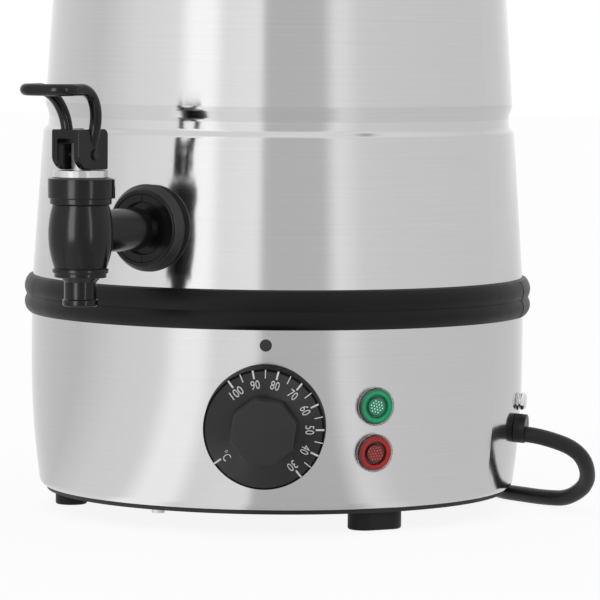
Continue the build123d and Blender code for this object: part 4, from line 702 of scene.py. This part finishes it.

# The closing spring between seat cup and bonnet, which in the tap shortens as the stem rises; here it is
# built at one length.
SPRING_WIRE, SPRING_RADIUS, SPRING_TURNS, SPRING_STEPS, WIRE_SIDES, SPRING_KEEP = 0.6, 7.6, 5, 32, 10, 0.75
spring_low, spring_high = (corner.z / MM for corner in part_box("tap_spring"))
bm = bmesh.new()
rings = []
rise = (spring_high - spring_low - 2 * SPRING_WIRE) / (SPRING_TURNS * SPRING_STEPS)
for k in range(SPRING_TURNS * SPRING_STEPS + 1):
    a = math.tau * k / SPRING_STEPS
    out = Vector((math.cos(a), math.sin(a), 0))
    along = Vector((-math.sin(a), math.cos(a), 0)) * SPRING_RADIUS * math.tau / SPRING_STEPS
    up = out.cross((along + Vector((0, 0, rise))).normalized())
    middle = out * SPRING_RADIUS + Vector((0, 0, spring_low + SPRING_WIRE + rise * k))
    rings.append([bm.verts.new(middle + (out * math.cos(b) + up * math.sin(b)) * SPRING_WIRE)
                  for b in (math.tau * j / WIRE_SIDES for j in range(WIRE_SIDES))])
skin(bm, rings, closed=False)
spring = put("closing_spring", bm, BARREL, finishes["spring_steel"], smooth=40)
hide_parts("tap_spring")
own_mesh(spring)

# Mould lines down the front of barrel and spout, and across the collar's cup.
BARREL_LINE = through((13.85, 146), (17.15, 165), (14.85, 180), 16)
SPOUT_LINE = ((8.55, 129.8), (8.55, 138.8), (10.4, 141.2))
for name, line, radius in (("barrel_mould_line", BARREL_LINE, 0.14), ("spout_mould_line", SPOUT_LINE, 0.12)):
    rod(name, [(0, -TAP_REACH - r, h) for r, h in line], radius, "tap_black")
for name, low, high in (("collar_line_low", -COLLAR_LINE_END, -COLLAR_LINE_START),
                        ("collar_line_high", COLLAR_LINE_START, COLLAR_LINE_END)):
    rod(name, [(0, -COLLAR_FACE, TAP_HEIGHT + h) for h in (low, high)], 0.13, "tap_black")
for name, across in (("pin_cap_right", 1), ("pin_cap_left", -1)):
    bm = bmesh.new()
    lathe(bm, PIN_CAP, 48)
    place = upright(PIN_END * across, -TAP_REACH, PIN_HEIGHT) @ Matrix.Rotation(across * math.pi / 2, 4, "Y")
    put(name, bm, place, pin_black, "tap_stem")

# ---- Plug details: ribs on its neck and the earth contacts on its sides ----
RIBS, NECK_RADIUS, NECK_TAPER = (3.0, 6.0, 9.0, 12.0), 5.3, 2.2 / 16
EARTH_OUT, EARTH_HALF_WIDTH, EARTH_HALF_THICK, EARTH_START, EARTH_END = 17.8, 2.4, 0.6, 36.0, 54.2
plug_rows = Matrix((Vector((-PLUG_HEADING.y, PLUG_HEADING.x, 0)), Vector((0, 0, 1)), PLUG_HEADING))
plug_rows = plug_rows.transposed().to_4x4()
plug_rows.translation = Vector(PLUG_PLACE) * MM
bm = bmesh.new()
for out in RIBS:
    neck = NECK_RADIUS + NECK_TAPER * out
    lathe(bm, [(neck - 0.5, out - 0.7), (neck + 0.9, out - 0.6), (neck + 1.1, out - 0.3),
               (neck + 1.1, out + 0.3), (neck + 0.9, out + 0.6), (neck - 0.5, out + 0.7)], 48)
put("plug_ribs", bm, plug_rows, finishes["plug_black"])
bm = bmesh.new()
for across in (-EARTH_OUT, EARTH_OUT):
    block(bm, (-EARTH_HALF_WIDTH, across - EARTH_HALF_THICK, EARTH_START),
          (EARTH_HALF_WIDTH, across + EARTH_HALF_THICK, EARTH_END))
put("plug_earth", bm, plug_rows, finishes["plug_pins"])

# ---- Band seam ----
SEAM_ANGLE = math.radians(104)
profile = (through((141.2, 111.2), (144, 116.2), (142.7, 121.2), 8)
           + through((142.7, 121.2), (144, 127), (141.6, 132), 8))
rod("band_seam", [(r * math.sin(SEAM_ANGLE), -r * math.cos(SEAM_ANGLE), h) for r, h in profile], 0.22,
    "band_black")

for name in ("knob_dial", "bonnet_rib", "barrel_mould_line", "spout_mould_line", "collar_line_low",
             "collar_line_high"):
    gloss.objects.link(bpy.data.objects[name])

bpy.context.scene.view_settings.view_transform = "Standard"
